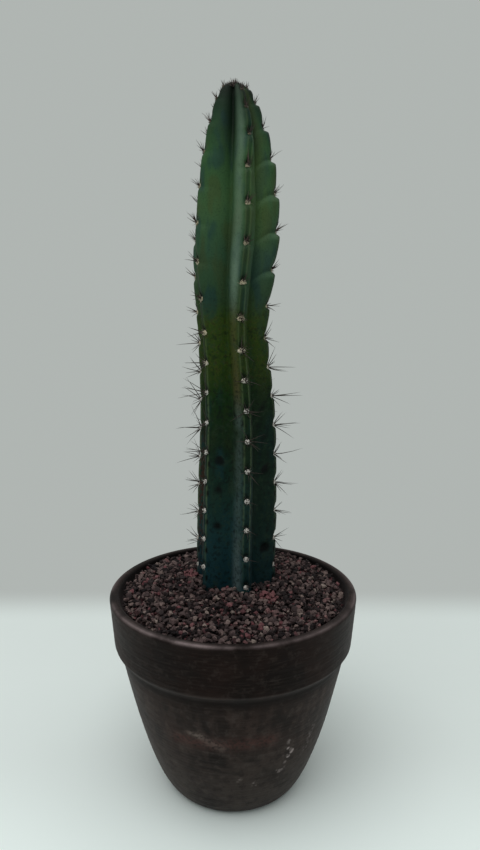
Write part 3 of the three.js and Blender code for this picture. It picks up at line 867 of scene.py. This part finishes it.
def felt_domes():
    """A low dome on every areole, closed below."""
    wide, tall, rise = pad_size(AREOLE["place"][:, 2])
    tilt = np.linspace(0, PAD_BEND, PAD_RINGS + 1)[1:] * math.pi
    tilt, clock = np.meshgrid(tilt, all_round(PAD_AROUND), indexing="ij")
    side = np.sin(tilt) * np.cos(clock) * wide[:, None, None]
    up = np.sin(tilt) * np.sin(clock) * tall[:, None, None]
    out = np.cos(tilt) * rise[:, None, None] - PAD_DROOP * side ** 2
    axes = ((AREOLE["side"], side), (AREOLE["up"], up), (AREOLE["out"], out))
    domes = AREOLE["place"][:, None, None] + sum(axis[:, None, None] * part[..., None] for axis, part in axes)
    tops = AREOLE["place"] + AREOLE["out"] * rise[:, None]
    domes = np.concatenate([domes.reshape(COUNT, -1, 3), tops[:, None]], axis=1).reshape(-1, 3)
    each = PAD_RINGS * PAD_AROUND + 1
    domes = domes + swelling(domes, PAD_LUMPS, 7)[:, None] * np.repeat(AREOLE["out"], each, 0)
    one = [(each - 1, j, (j + 1) % PAD_AROUND) for j in range(PAD_AROUND)]
    one += [(a, d, c, b) for a, b, c, d in ring_quads(PAD_RINGS, PAD_AROUND)]
    one.append(tuple(reversed(range(each - 1 - PAD_AROUND, each - 1))))
    return domes, repeated(one, COUNT, each)


# %% Felt hairs
HAIRS = 30
HAIR_LENGTH = (0.9, 1.9)
HAIR_RADIUS = 0.11
HAIR_BOW = 0.3
HAIR_ROOT = 0.55


def felt_hairs(random):
    """Short hairs that stand out of every dome, longer on the wide ones."""
    which = np.repeat(np.arange(COUNT), HAIRS)
    wide, tall, rise = pad_size(AREOLE["place"][which, 2])
    tilt = 0.5 * math.pi * np.sqrt(random.uniform(0.02, 1, len(which)))
    clock = random.uniform(0, 2 * math.pi, len(which))
    way = leaning(which, tilt, clock)
    root = AREOLE["place"][which] + HAIR_ROOT * np.stack([wide, tall, rise]).mean(0)[:, None] * way
    length = random.uniform(*HAIR_LENGTH, len(which)) * wide / 2.0
    bend = HAIR_BOW * random.normal(size=way.shape)
    return spikes(root, way, bend, length, np.full(len(which), HAIR_RADIUS), 3, HAIR_SHAPE)


# %% Felt finish
def felt_sockets(start):
    """Whitish old felt, browner and more tangled towards the top."""
    place, height = place_of(start)
    middle, young = height.rising(0.31, 0.38), height.rising(0.46, 0.53)
    wool = young.blend(middle.blend(paint(208, 204, 198), paint(188, 178, 150)), paint(72, 62, 48))
    wool = coats(wool, [
        (0.6 * noise(place, 1800.0).rising(0.4, 0.6), (86, 74, 58)),
        (0.75 * height.rising(0.37, 0.42) * noise(place, 620.0, 1.0).rising(0.46, 0.56), (40, 34, 26)),
    ])
    return {"Base Color": wool, "Roughness": 0.95, "Sheen Weight": 0.3, "Specular IOR Level": 0.1}


random = np.random.default_rng(21)
domes, dome_faces = felt_domes()
hairs, hair_faces, _ = felt_hairs(random)
hair_faces = [tuple(v + len(domes) for v in face) for face in hair_faces]
felt = link_mesh("felt_pads", np.concatenate([domes, hairs]) * MM, dome_faces + hair_faces,
                 finish("felt", felt_sockets))
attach(felt, "root")

# %% [markdown]
# Each areole carries one or two long central spines and a ring of shorter ones. They are slim,
# slightly bowed needles with a swollen root. On young growth they are short, dark and point up. The
# longest stand at the top of the old growth, just below the waist. Six sides are enough, because at
# this size a real spine covers only a pixel or two.

# %% Drawing the spines
# Height and length of the central spines, and height and radius of the roots.
CENTRAL_LENGTH = [
    [165, 14], [230, 15], [265, 19], [300, 23], [325, 22], [350, 18], [385, 13], [430, 11],
    [480, 11], [530, 9], [550, 5],
]
SPINE_ROOT_RADIUS = [[165, 0.22], [300, 0.34], [385, 0.34], [480, 0.27], [540, 0.25]]
# Lean from straight out in radians, and share of the central length.
CENTRAL_LEAN = (0.05, 0.6)
CENTRAL_SHARE = (0.75, 1.1)
RADIAL_LEAN = (0.5, 1.15)
RADIAL_SHARE = (0.4, 0.95)
# Clock angles in half turns, where the spines point up and where they point all round.
UPWARD = (0.1, 0.9)
ALL_ROUND = (-0.9, 1.9)
# Chance of a second central spine, the number of the others, and by how many they may be fewer.
TWO_CENTRALS = 0.6
RADIALS = 7
FEWER_RADIALS = 2
YOUNG_SPINES = (360, 430)
YOUNG_LEAN = 0.2
YOUNG_LIFT = 0.3
CLOCK_JITTER = 0.45
SPINE_BOW = 0.1
SPINE_START = 0.5
# Arc of the radial spines and the angle where it starts, where they point up and all round.
UPWARD_ARC = (1.2 * math.pi, -0.1 * math.pi)
WHOLE_ARC = (2 * math.pi, 0.5)
SPINE_SHAPE = [(0, 1.7), (0.05, 1.45), (0.12, 1.05), (0.35, 0.85), (0.65, 0.55), (0.88, 0.26), (1, 0)]


def spine_draw(random):
    """The areole that each spine grows from, its lean, its clock angle and its share of the length."""
    drawn = []
    for n, height in enumerate(AREOLE["place"][:, 2]):
        young = float(smooth_step(*YOUNG_SPINES, height))
        near_lava = height < FIRST_ROW + ROW_SPACING
        upward = near_lava or young > 0.5
        clocks = UPWARD if upward else ALL_ROUND
        for _ in range(2 if random.uniform() < TWO_CENTRALS else 1):
            drawn.append((n, random.uniform(*CENTRAL_LEAN), random.uniform(*clocks) * math.pi,
                          random.uniform(*CENTRAL_SHARE)))
        count = RADIALS - int(random.integers(0, FEWER_RADIALS + 1)) - (2 if near_lava else 0)
        span, first = UPWARD_ARC if upward else WHOLE_ARC
        for k in range(count):
            drawn.append((n, random.uniform(*RADIAL_LEAN) - YOUNG_LEAN * young,
                          span * (k + 0.5 + random.uniform(-CLOCK_JITTER, CLOCK_JITTER)) / count + first,
                          random.uniform(*RADIAL_SHARE)))
    which, tilt, clock, share = np.array(drawn).T
    return which.astype(int), tilt, clock, share


# %% Horn finish and spines
def spine_sockets(start):
    """Dark horn, nearly black at the root and the tip, and pinkish on some of the young spines."""
    place, height = place_of(start)
    mark = masks_of(start, ("along", "tint"))
    young = height.rising(0.33, 0.42)
    horn = coats(young.blend(paint(52, 44, 40), paint(46, 34, 30)), [
        (0.6 * mark["along"].rising(0.5, 1.0), (36, 27, 25)),
        (mark["along"].falling(0.0, 0.1), (34, 24, 20)),
        (0.4 * noise(place, 700.0).rising(0.45, 0.7), (46, 38, 34)),
        (0.4 * young * mark["tint"].rising(0.6, 0.9), (124, 102, 94)),
    ])
    return {"Base Color": horn, "Roughness": 0.55, "Specular IOR Level": 0.25}


random = np.random.default_rng(34)
which, tilt, clock, share = spine_draw(random)
height = AREOLE["place"][which, 2]
length = smooth_through(CENTRAL_LENGTH, height) * share
radius = smooth_through(SPINE_ROOT_RADIUS, height) * (0.7 + 0.4 * share)
lift = YOUNG_LIFT * smooth_step(*YOUNG_SPINES, height)
way = unit(leaning(which, tilt, clock) + AREOLE["up"][which] * lift[:, None])
bend = SPINE_BOW * random.normal(size=way.shape)
root = AREOLE["place"][which] + SPINE_START * way
spines, spine_faces, along = spikes(root, way, bend, length, radius, 6, SPINE_SHAPE)
horn = finish("horn", spine_sockets)
tint = np.repeat(random.uniform(0, 1, len(which)), len(along) // len(which))
spine_piece = link_mesh("spines", spines * MM, spine_faces, horn, True, {"along": along, "tint": tint})
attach(spine_piece, "root")

# %% [markdown]
# At the apex new areoles crowd together, so the growing tip is a tuft of pinkish wool with short
# dark spines in it. A dome of fine hairs makes the wool, and it hides where the ribs meet.

# %% Apex tuft
TUFT_WIDTH = 6.0
TUFT_FALL = 3.2
# Number, spread and sink of the hairs and of the spines, their bow, length and radius.
WOOL_HAIRS = (800, 1.3, 1.0)
WOOL_FORM = (0.35, (1.6, 3.0), 0.13)
TUFT_SPINES = (64, 1.15, 1.2)
TUFT_FORM = (0.08, (3.4, 6.2), 0.34)


def crown(random, count, spread, sink):
    """Places on the tip and the ways that hairs or spines stand there."""
    clock = random.uniform(0, 2 * math.pi, count)
    away = np.sqrt(random.uniform(0, 1, count))
    tilt = away * spread
    ring = np.stack([np.cos(clock), np.sin(clock), 0 * clock], -1)
    way = ring * np.sin(tilt)[:, None] + np.array([0, 0, 1.0]) * np.cos(tilt)[:, None]
    height = APEX_HEIGHT - sink - TUFT_FALL * away ** 2
    root = ring * (TUFT_WIDTH * away)[:, None]
    root = root + np.stack([axis_x(height), np.full(count, STEM_Y), height], -1)
    return root, way


def crown_spikes(random, stand, form, sides, shape):
    """Hairs or spines of the tip, as spikes."""
    root, way = crown(random, *stand)
    bow, lengths, radius = form
    bend = bow * random.normal(size=way.shape)
    length = random.uniform(*lengths, len(root))
    return spikes(root, way, bend, length, np.full(len(root), radius), sides, shape)


def wool_sockets(start):
    """Pinkish wool with dark gaps."""
    place, _ = place_of(start)
    wool = noise(place, 900.0).rising(0.3, 0.55).blend(paint(140, 120, 112), paint(38, 28, 26))
    return {"Base Color": wool, "Roughness": 0.95, "Sheen Weight": 0.3, "Specular IOR Level": 0.1}


random = np.random.default_rng(55)
hairs, faces, _ = crown_spikes(random, WOOL_HAIRS, WOOL_FORM, 3, HAIR_SHAPE)
wool = link_mesh("apex_wool", hairs * MM, faces, finish("wool", wool_sockets))
tuft, faces, along = crown_spikes(random, TUFT_SPINES, TUFT_FORM, 6, SPINE_SHAPE)
tint = np.repeat(random.uniform(0, 1, TUFT_SPINES[0]), len(along) // TUFT_SPINES[0])
tuft = link_mesh("apex_spines", tuft * MM, faces, horn, True, {"along": along, "tint": tint})
for piece in (wool, tuft):
    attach(piece, "root")

# %% [markdown]
# The pot is thrown clay: a thick band round the rim, and a wall that curves in to a small foot. The
# section of the solid is turned here in many fine steps, so that the ridges left by the potter's
# fingers can be real relief.

# %% Pot section
RIM_RADIUS = 100
POT_HEIGHT = 165
BAND_HEIGHT = 42
BAND_CORNER = 4
BAND_UNDERCUT = 4.5
BAND_TAPER = 3
NECK_RADIUS = 92
FOOT_RADIUS = 51
FOOT_CURVE = 0.6
WALL = 7.5
BASE = 9
BASE_CORNER = 5
DRAIN_RADIUS = 12.5
FOOT_RECESS = 1.5
FOOT_RING = 9
LIP_ROUND = 2.5
NECK_HEIGHT = POT_HEIGHT - BAND_HEIGHT - BAND_UNDERCUT
TURNS = 224


def outer_wall(height):
    """Radius of the outside below the band, which curves in to the foot."""
    return FOOT_RADIUS + (NECK_RADIUS - FOOT_RADIUS) * (height / NECK_HEIGHT) ** FOOT_CURVE


def inner_wall(height):
    """Radius of the inside, one wall's thickness in, and wider behind the band."""
    up = np.clip((height - NECK_HEIGHT) / (POT_HEIGHT - NECK_HEIGHT), 0, 1)
    return outer_wall(np.minimum(height, NECK_HEIGHT)) - WALL + (RIM_RADIUS - NECK_RADIUS) * up


def corner(x, z, radius, start_degrees, end_degrees, count):
    """Points of a rounded corner about its centre, from one angle to the other."""
    a = np.radians(np.linspace(start_degrees, end_degrees, count))
    return np.stack([x + radius * np.cos(a), z + radius * np.sin(a)], -1)


def pot_section():
    """The closed section of the pot, as points of radius and height."""
    up = np.linspace(1, NECK_HEIGHT, 100)
    lip, band_bottom = POT_HEIGHT - LIP_ROUND, POT_HEIGHT - BAND_HEIGHT
    down = np.linspace(lip, NECK_HEIGHT, 10)[1:-1]
    down = np.concatenate([down, np.linspace(NECK_HEIGHT, BASE + BASE_CORNER, 24)])
    band = [RIM_RADIUS - BAND_TAPER, band_bottom + BAND_CORNER]
    return np.concatenate([
        [[DRAIN_RADIUS, FOOT_RECESS], [FOOT_RADIUS - FOOT_RING, FOOT_RECESS]],
        [[FOOT_RADIUS - FOOT_RING + FOOT_RECESS, 0], [FOOT_RADIUS - 1.6, 0], [FOOT_RADIUS - 0.4, 0.3]],
        np.stack([outer_wall(up), up], -1),
        corner(band[0] - BAND_CORNER, band[1], BAND_CORNER, -80, 0, 8),
        np.linspace(band, [RIM_RADIUS, lip], 32)[1:-1],
        corner(RIM_RADIUS - LIP_ROUND, lip, LIP_ROUND, 0, 90, 7),
        corner(RIM_RADIUS - WALL + LIP_ROUND, lip, LIP_ROUND, 90, 180, 7),
        np.stack([inner_wall(down), down], -1),
        [[inner_wall(BASE) - BASE_CORNER, BASE], [DRAIN_RADIUS, BASE]],
    ])


# %% Turned pot
# Where the outside starts and ends among the points of the section.
OUTSIDE_START = 5
OUTSIDE_END = 140
# Share, pitch and shift of each wave of the throwing ridges, which climb as a spiral.
RIDGE_WAVES = ((1, 2.1, 0), (0.7, 3.3, 1), (0.5, 0.9, 2))
RIDGE_HEIGHT = 0.08
RIDGE_CLIMB = 3.0
CLAY_LUMPS = ((0.12, 30), (0.05, 4))
EVEN_FOOT = (2, 12)


def pot_mesh():
    """Points of the turned pot with its throwing ridges, ring by ring, and the number of rings."""
    section = pot_section()
    turn = all_round(TURNS)
    radius, height = section.T
    order = np.arange(len(section))
    outside = (order >= OUTSIDE_START) & (order < OUTSIDE_END)
    spiral = height[:, None] + RIDGE_CLIMB * turn / (2 * math.pi)
    ridges = sum(share * np.sin(spiral * pitch + shift) for share, pitch, shift in RIDGE_WAVES)
    grown = radius[:, None] + RIDGE_HEIGHT * ridges * outside[:, None]
    away = facing(turn)
    points = away * grown[..., None] + height[:, None, None] * [0, 0, 1]
    flat = points.reshape(-1, 3)
    keep = np.repeat(smooth_step(*EVEN_FOOT, height) * outside, TURNS)
    wobble = swelling(flat, CLAY_LUMPS, 8) * keep
    away = np.broadcast_to(away, points.shape).reshape(-1, 3)
    return flat + away * wobble[:, None], len(section)


pot_points, rings = pot_mesh()
print("pot section of", rings, "points, turned in", TURNS, "steps")

# %% [markdown]
# Clay takes stains, and a used pot shows them all. Dust gathers below, water draws runs down the
# wall, and the edge of the lip is worn pale, with a painted highlight on it at the front left. A noise
# that is drawn out down the wall makes the runs. Painted shade darkens the crevice under the band and
# the inner wall, and a painted highlight runs along the band's lower edge. The scuff, the pale streak,
# the flecks of lime and the scratches are strokes, laid where they lie on the real pot.

# %% Clay finish
WARM_SHINE = (1.0, 0.86, 0.84, 1.0)


def clay_sockets(start):
    """Dark clay with dust, runs and patina, and over them the marks of use, painted highlights on the lip and
    the band's lower edge, and painted shade under the band and inside.
    """
    place, height = place_of(start)
    mark = masks_of(start, pot_marks)
    cloudy, flecks, grain = noise(place, 32.0, 5.0), noise(place, 420.0, 3.0), noise(place, 1200.0, 3.0)
    patina = noise(place, 150.0, 4.0, 0.65)
    rings = noise(stretched(place, (0.12, 0.12, 1.0)), 700.0, 3.0)
    runs = noise(stretched(place, (1.0, 1.0, 0.14)), 130.0, 3.0)
    body = height.falling(0.105, 0.12)
    drawn = 0.32 * body * height.rising(0.03, 0.09)
    dust = height.falling(0.0, 0.10) * cloudy.rising(0.3, 0.6)
    drops = grains(place, 270.0).falling(0.32, 0.55)
    clay = coats(cloudy.rising(0.35, 0.65).blend(paint(10, 5, 3), paint(25, 14, 10)), [
        (0.45 * body * cloudy.rising(0.2, 0.6), (52, 42, 38)),
        (drawn * runs.rising(0.46, 0.66), (70, 57, 52)),
        (drawn * runs.falling(0.34, 0.5), (15, 11, 9)),
        (0.42 * dust, (72, 68, 64)),
        (0.18 * rings.rising(0.5, 0.7), (62, 52, 47)),
        ((0.2 + 0.25 * body) * patina.rising(0.52, 0.66), (66, 58, 54)),
        ((0.3 + 0.2 * body) * patina.falling(0.36, 0.48), (12, 8, 7)),
        (0.5 * mark["scuff"] * flecks.rising(0.3, 0.6), (80, 48, 43)),
        (0.5 * mark["streak"] * flecks.rising(0.28, 0.6), (104, 92, 86)),
        # Pale wear on the lip, with a painted highlight that is brightest at the front left.
        (0.36 * mark["wear"] * cloudy.rising(0.35, 0.6), (138, 124, 124)),
        (mark["lime"] * (0.4 + 0.6 * flecks.rising(0.4, 0.55)) * drops, (150, 138, 136)),
        # A painted highlight along the lower edge of the band.
        (0.3 * mark["bead"] * cloudy.rising(0.35, 0.6), (66, 56, 52)),
        (0.6 * mark["scratch"], (14, 12, 11)),
        # Painted shade on the inner wall above the lava.
        (mark["inside"], (7, 6, 6)),
        (0.3 * grain.rising(0.45, 0.75), (16, 12, 10)),
        # Painted shade in the crevice under the band.
        (0.7 * mark["crevice"], (8, 6, 5)),
    ])
    return {
        "Base Color": clay, "Roughness": 0.4 + 0.3 * cloudy, "Specular IOR Level": 0.06,
        "Specular Tint": WARM_SHINE, "Sheen Weight": 0.05, "Sheen Tint": WARM_SHINE,
        "Normal": bumpy(0.8 * grain + 0.2 * rings, 0.4, 0.0004),
    }


# %% Marks of use
# Start, end, reach and strength of the lime flecks, as [x, z] on the front.
LIME_FLECKS = [
    ([43, 75], [43, 73], 1.5, 1.0), ([42, 69], [40, 63], 1.7, 1.3), ([46, 64], [42, 58], 1.7, 1.3),
    ([42, 58], [37, 50], 1.3, 0.5), ([36, 49], [35, 47], 1.9, 1.2), ([17, 39], [18, 39], 1.8, 1.2),
    ([4, 45], [5, 45], 1.8, 0.5), ([62, 80], [55, 56], 1.5, 0.35),
]
# Start and end of the dark scratches, as [x, z] on the front.
SCRATCHES = [([-38, 65], [-20, 62]), ([-20, 62], [0, 59]), ([-23, 57], [3, 51]), ([8, 65], [20, 63])]
SCUFF = ([-40, 80], [28, 82], 5.5)
STREAK_TOP = ([-31, 88], [-23, 86.5], 2.0)
STREAK = ([-23, 86.5], [-8, 77], 3.2)
SCRATCH_REACH = 1.1
# How far in and down from the corner of the lip its pale wear and painted highlight lie, and over what reach.
LIP_WEAR_AND_HIGHLIGHT = (1.4, 0.5, 1.3)


def stroke(start, end, wide):
    """A mask round a line on the front of the pot, from start to end, both [x, z]."""
    place = pot_points[:, [0, 2]] - start
    along = np.subtract(end, start)
    share = np.clip(place @ along / (along @ along), 0, 1)
    away = np.linalg.norm(place - share[:, None] * along, axis=1)
    return (pot_points[:, 1] < 0) * bell(away, wide)


pot_high, pot_wide = pot_points[:, 2], np.hypot(*pot_points[:, :2].T)
inward, down, reach = LIP_WEAR_AND_HIGHLIGHT
lip = bell(np.hypot(pot_wide - RIM_RADIUS + inward, pot_high - POT_HEIGHT + down), reach)
# Painted shade lies in the crevice under the band, a painted highlight runs along its lower edge as the bead,
# and the lip is worn pale with a painted highlight in front.
pot_marks = {
    "scuff": stroke(*SCUFF),
    "streak": 1.5 * stroke(*STREAK_TOP) + 0.9 * stroke(*STREAK),
    "wear": lip * (1.1 + 1.5 * (pot_points[:, 1] < 0) * bell(pot_points[:, 0] + 36, 34)),
    "lime": sum(power * stroke(start, end, wide) for start, end, wide, power in LIME_FLECKS),
    "scratch": sum(stroke(start, end, SCRATCH_REACH) for start, end in SCRATCHES),
    "crevice": bell(pot_high - NECK_HEIGHT, 4.5) * (pot_wide < RIM_RADIUS - 5),
    "bead": bell(pot_high - (POT_HEIGHT - BAND_HEIGHT + 2), 1.6) * (pot_wide > RIM_RADIUS - 6),
    "inside": smooth_step(RIM_RADIUS - 5.5, RIM_RADIUS - 7, pot_wide) * (pot_high > 145),
}
pot = link_mesh("pot_clay", pot_points * MM, ring_quads(rings, TURNS, joined=True),
                finish("dark_clay", clay_sockets), True, pot_marks)
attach(pot, "root")
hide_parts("pot")

# %% [markdown]
# Crushed lava is a mass of sharp-cornered grains, 4 to 6 mm across, from dark plum to brick red. Two
# dozen different grains are made as the hull of random points. Thousands of turned and scaled copies
# are joined into one mesh, in layers on the slope of the bed, so no two neighbours look alike.

# %% Grain shapes
GRAIN_KINDS = 24
GRAIN_CORNERS = 13
GRAIN_ROUGHNESS = (0.75, 1.05)
GRAIN_STRETCH = (0.7, 1.15)


def grain_kinds(random):
    """Convex stones of unit size: points and faces of each."""
    kinds = []
    for _ in range(GRAIN_KINDS):
        cloud = unit(random.normal(size=(GRAIN_CORNERS, 3)))
        cloud *= random.uniform(*GRAIN_ROUGHNESS, (GRAIN_CORNERS, 1)) * random.uniform(*GRAIN_STRETCH, 3)
        stone = bmesh.new()
        for point in cloud:
            stone.verts.new(point)
        bmesh.ops.convex_hull(stone, input=stone.verts)
        loose = [v for v in stone.verts if not v.link_faces]
        bmesh.ops.delete(stone, geom=loose, context="VERTS")
        stone.verts.index_update()
        points = np.array([v.co for v in stone.verts])
        kinds.append((points, [tuple(v.index for v in face.verts) for face in stone.faces]))
        stone.free()
    return kinds


def turns(random, count):
    """Random rotations, as matrices."""
    w, x, y, z = unit(random.normal(size=(count, 4))).T
    return np.stack([
        1 - 2 * (y * y + z * z), 2 * (x * y - z * w), 2 * (x * z + y * w),
        2 * (x * y + z * w), 1 - 2 * (x * x + z * z), 2 * (y * z - x * w),
        2 * (x * z - y * w), 2 * (y * z + x * w), 1 - 2 * (x * x + y * y),
    ], -1).reshape(count, 3, 3)


# %% Grains in the pot
LAVA_EDGE = 162.5
LAVA_AT_STEM = 169
LAVA_SLOPE = (30, 95)
GRAIN_SIZE = (1.5, 3.4)
GRAIN_STEP = 4.0
GRAIN_JITTER = 0.45
GRAIN_LIFT = (-1.0, 0.6)
LAYERS = 3
LAYER_SHIFT = (1.7, 2.3)
LAYER_DROP = 2.3
WALL_GAP = 0.2
STEM_GAP = 0.85


def lava_level(x, y):
    """Height of the lava, which slopes down from the stem to the wall."""
    away = np.hypot(x - STEM_X, y - STEM_Y)
    return LAVA_AT_STEM + (LAVA_EDGE - LAVA_AT_STEM) * smooth_step(*LAVA_SLOPE, away)


def stem_reach(x, y):
    """Radius of the stem at lava level, in the direction of a place."""
    ring, at, _ = skin_point(np.arange(len(RIB_CREST))[:, None], np.linspace(-1, 1, 21)[None, :], 0.0)
    known = np.mod(at["angle"], 2 * math.pi).ravel()
    reach = np.hypot(ring[..., 0] - STEM_X, ring[..., 1] - STEM_Y).ravel()
    turn = np.arctan2(x - STEM_X, STEM_Y - y)
    order = np.argsort(known)
    return np.interp(np.mod(turn, 2 * math.pi), known[order], reach[order], period=2 * math.pi)


def grain_places(random):
    """Places and sizes of the grains, in layers of jittered rows, inside the pot and off the stem."""
    found = []
    line = np.arange(-RIM_RADIUS, RIM_RADIUS, GRAIN_STEP)
    for layer in range(LAYERS):
        x, y = [(way + random.uniform(-GRAIN_JITTER, GRAIN_JITTER, way.shape) * GRAIN_STEP).ravel()
                for way in np.meshgrid(*[line + layer * shift for shift in LAYER_SHIFT])]
        z = lava_level(x, y) + random.uniform(*GRAIN_LIFT, x.shape) - LAYER_DROP * layer
        found.append(np.stack([x, y, z], -1))
    x, y, z = np.concatenate(found).T
    size = random.uniform(*GRAIN_SIZE, len(x))
    off_stem = np.hypot(x - STEM_X, y - STEM_Y) - stem_reach(x, y)
    keep = (np.hypot(x, y) + size < inner_wall(z) - WALL_GAP) & (off_stem > size * STEM_GAP)
    return np.stack([x, y, z], -1)[keep], size[keep]


# %% Bed and grains joined
BED_RINGS = 12
BED_TURNS = 96
BED_HOLE = 24
BED_DEPTH = 5.0
BED_GAP = 0.5
BED_TAPER = 0.97
BED_SINK = 4
SOIL_TOP = 142
FLATNESS = 0.85
# Tone of the bed: dark, as painted shade in the gaps between the grains.
BED_SHADE_TONE = 0.2
# Place and reach of the patches where grains are redder and paler.
RED_PATCHES = (((-36, 17), 11), ((28, -25), 11))
PATCH_RED = 1.4
PATCH_TONE = 0.8


def lava_bed():
    """A sheet under the grains, painted dark as the shade between them, from the stem out to the wall, closed
    below.
    """
    hole = [STEM_X, STEM_Y, 0] + BED_HOLE * facing(all_round(BED_TURNS))
    rim = (inner_wall(LAVA_EDGE - BED_SINK) - BED_GAP) * facing(all_round(BED_TURNS))
    flat = hole + (rim - hole) * np.linspace(0, 1, BED_RINGS)[:, None, None]
    low = flat + [0, 0, SOIL_TOP + BED_GAP]
    low[-1] *= [BED_TAPER, BED_TAPER, 1.0]
    high = lava_level(flat[..., 0], flat[..., 1]) - BED_DEPTH
    top = (flat + high[..., None] * [0, 0, 1])[::-1]
    return np.concatenate([low, top]).reshape(-1, 3), ring_quads(2 * BED_RINGS, BED_TURNS, joined=True)


def lava_mesh(random):
    """The bed and all its grains as one mesh, with a tone and a redness for each grain."""
    kinds = grain_kinds(random)
    places, size = grain_places(random)
    count = len(places)
    turned = turns(random, count)
    kind = random.integers(0, GRAIN_KINDS, count)
    tone, red = random.uniform(0, 1, count), random.uniform(0, 1, count)
    for place, reach in RED_PATCHES:
        near = bell(np.hypot(*(places[:, :2] - place).T), reach)
        red, tone = np.maximum(red, PATCH_RED * near), np.maximum(tone, PATCH_TONE * near)
    bed, faces = lava_bed()
    points, marks, total = [bed], [np.full((len(bed), 2), BED_SHADE_TONE)], len(bed)
    for n in range(count):
        shape, hull = kinds[kind[n]]
        points.append(places[n] + (shape * size[n]) @ turned[n].T * [1, 1, FLATNESS])
        faces += [tuple(v + total for v in face) for face in hull]
        marks.append(np.tile([tone[n], red[n]], (len(shape), 1)))
        total += len(shape)
    tone, red = np.concatenate(marks).T
    print(count, "grains")
    return np.concatenate(points), faces, {"tone": tone, "red": red}


# %% Lava finish
LAVA_TONES = [
    (0.0, (17, 13, 15)), (0.35, (47, 39, 39)), (0.65, (89, 73, 72)), (0.94, (114, 97, 93)),
    (1.0, (142, 128, 120)),
]


def lava_sockets(start):
    """A tone for each grain from plum to brick, some of them red, with grit and pores."""
    place, _ = place_of(start)
    mark = masks_of(start, ("tone", "red"))
    pores, grit = grains(place, 1500.0), noise(place, 900.0, 3.0)
    lava = coats(ramp(mark["tone"], LAVA_TONES), [
        (0.75 * mark["red"].rising(0.84, 1.0), (124, 76, 80)),
        (0.5 * grit.rising(0.45, 0.7), (36, 30, 30)),
        (0.7 * pores.falling(0.1, 0.4), (16, 13, 13)),
    ])
    bumps = bumpy(pores + 0.5 * grit, 0.6, 0.0006)
    return {"Base Color": lava, "Roughness": 0.9, "Normal": bumps, "Specular IOR Level": 0.2}


random = np.random.default_rng(89)
points, faces, marks = lava_mesh(random)
lava = link_mesh("lava_grains", points * MM, faces, finish("crushed_lava", lava_sockets), False, marks)
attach(lava, "root")
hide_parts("lava")

# %% [markdown]
# The soil fills the pot under the lava and nothing of it shows. Its solid already has the right
# shape, so it stays and only gets a finish: dark peat with paler fibres and grains.

# %% Soil finish
def soil_sockets(start):
    """Dark peat with pale crumbs."""
    place, _ = place_of(start)
    peat, crumbs = noise(place, 260.0, 6.0), grains(place, 500.0)
    dark = peat.rising(0.35, 0.65).blend(paint(34, 26, 20), paint(66, 50, 38))
    brown = coats(dark, [(0.5 * crumbs.falling(0.1, 0.2), (120, 104, 84))])
    bumps = bumpy(peat, 0.8, 0.001)
    return {"Base Color": brown, "Roughness": 0.95, "Normal": bumps, "Specular IOR Level": 0.15}


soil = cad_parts["soil"]
soil_finish = finish("peat", soil_sockets)
soil.data.materials.clear()
soil.data.materials.append(soil_finish)
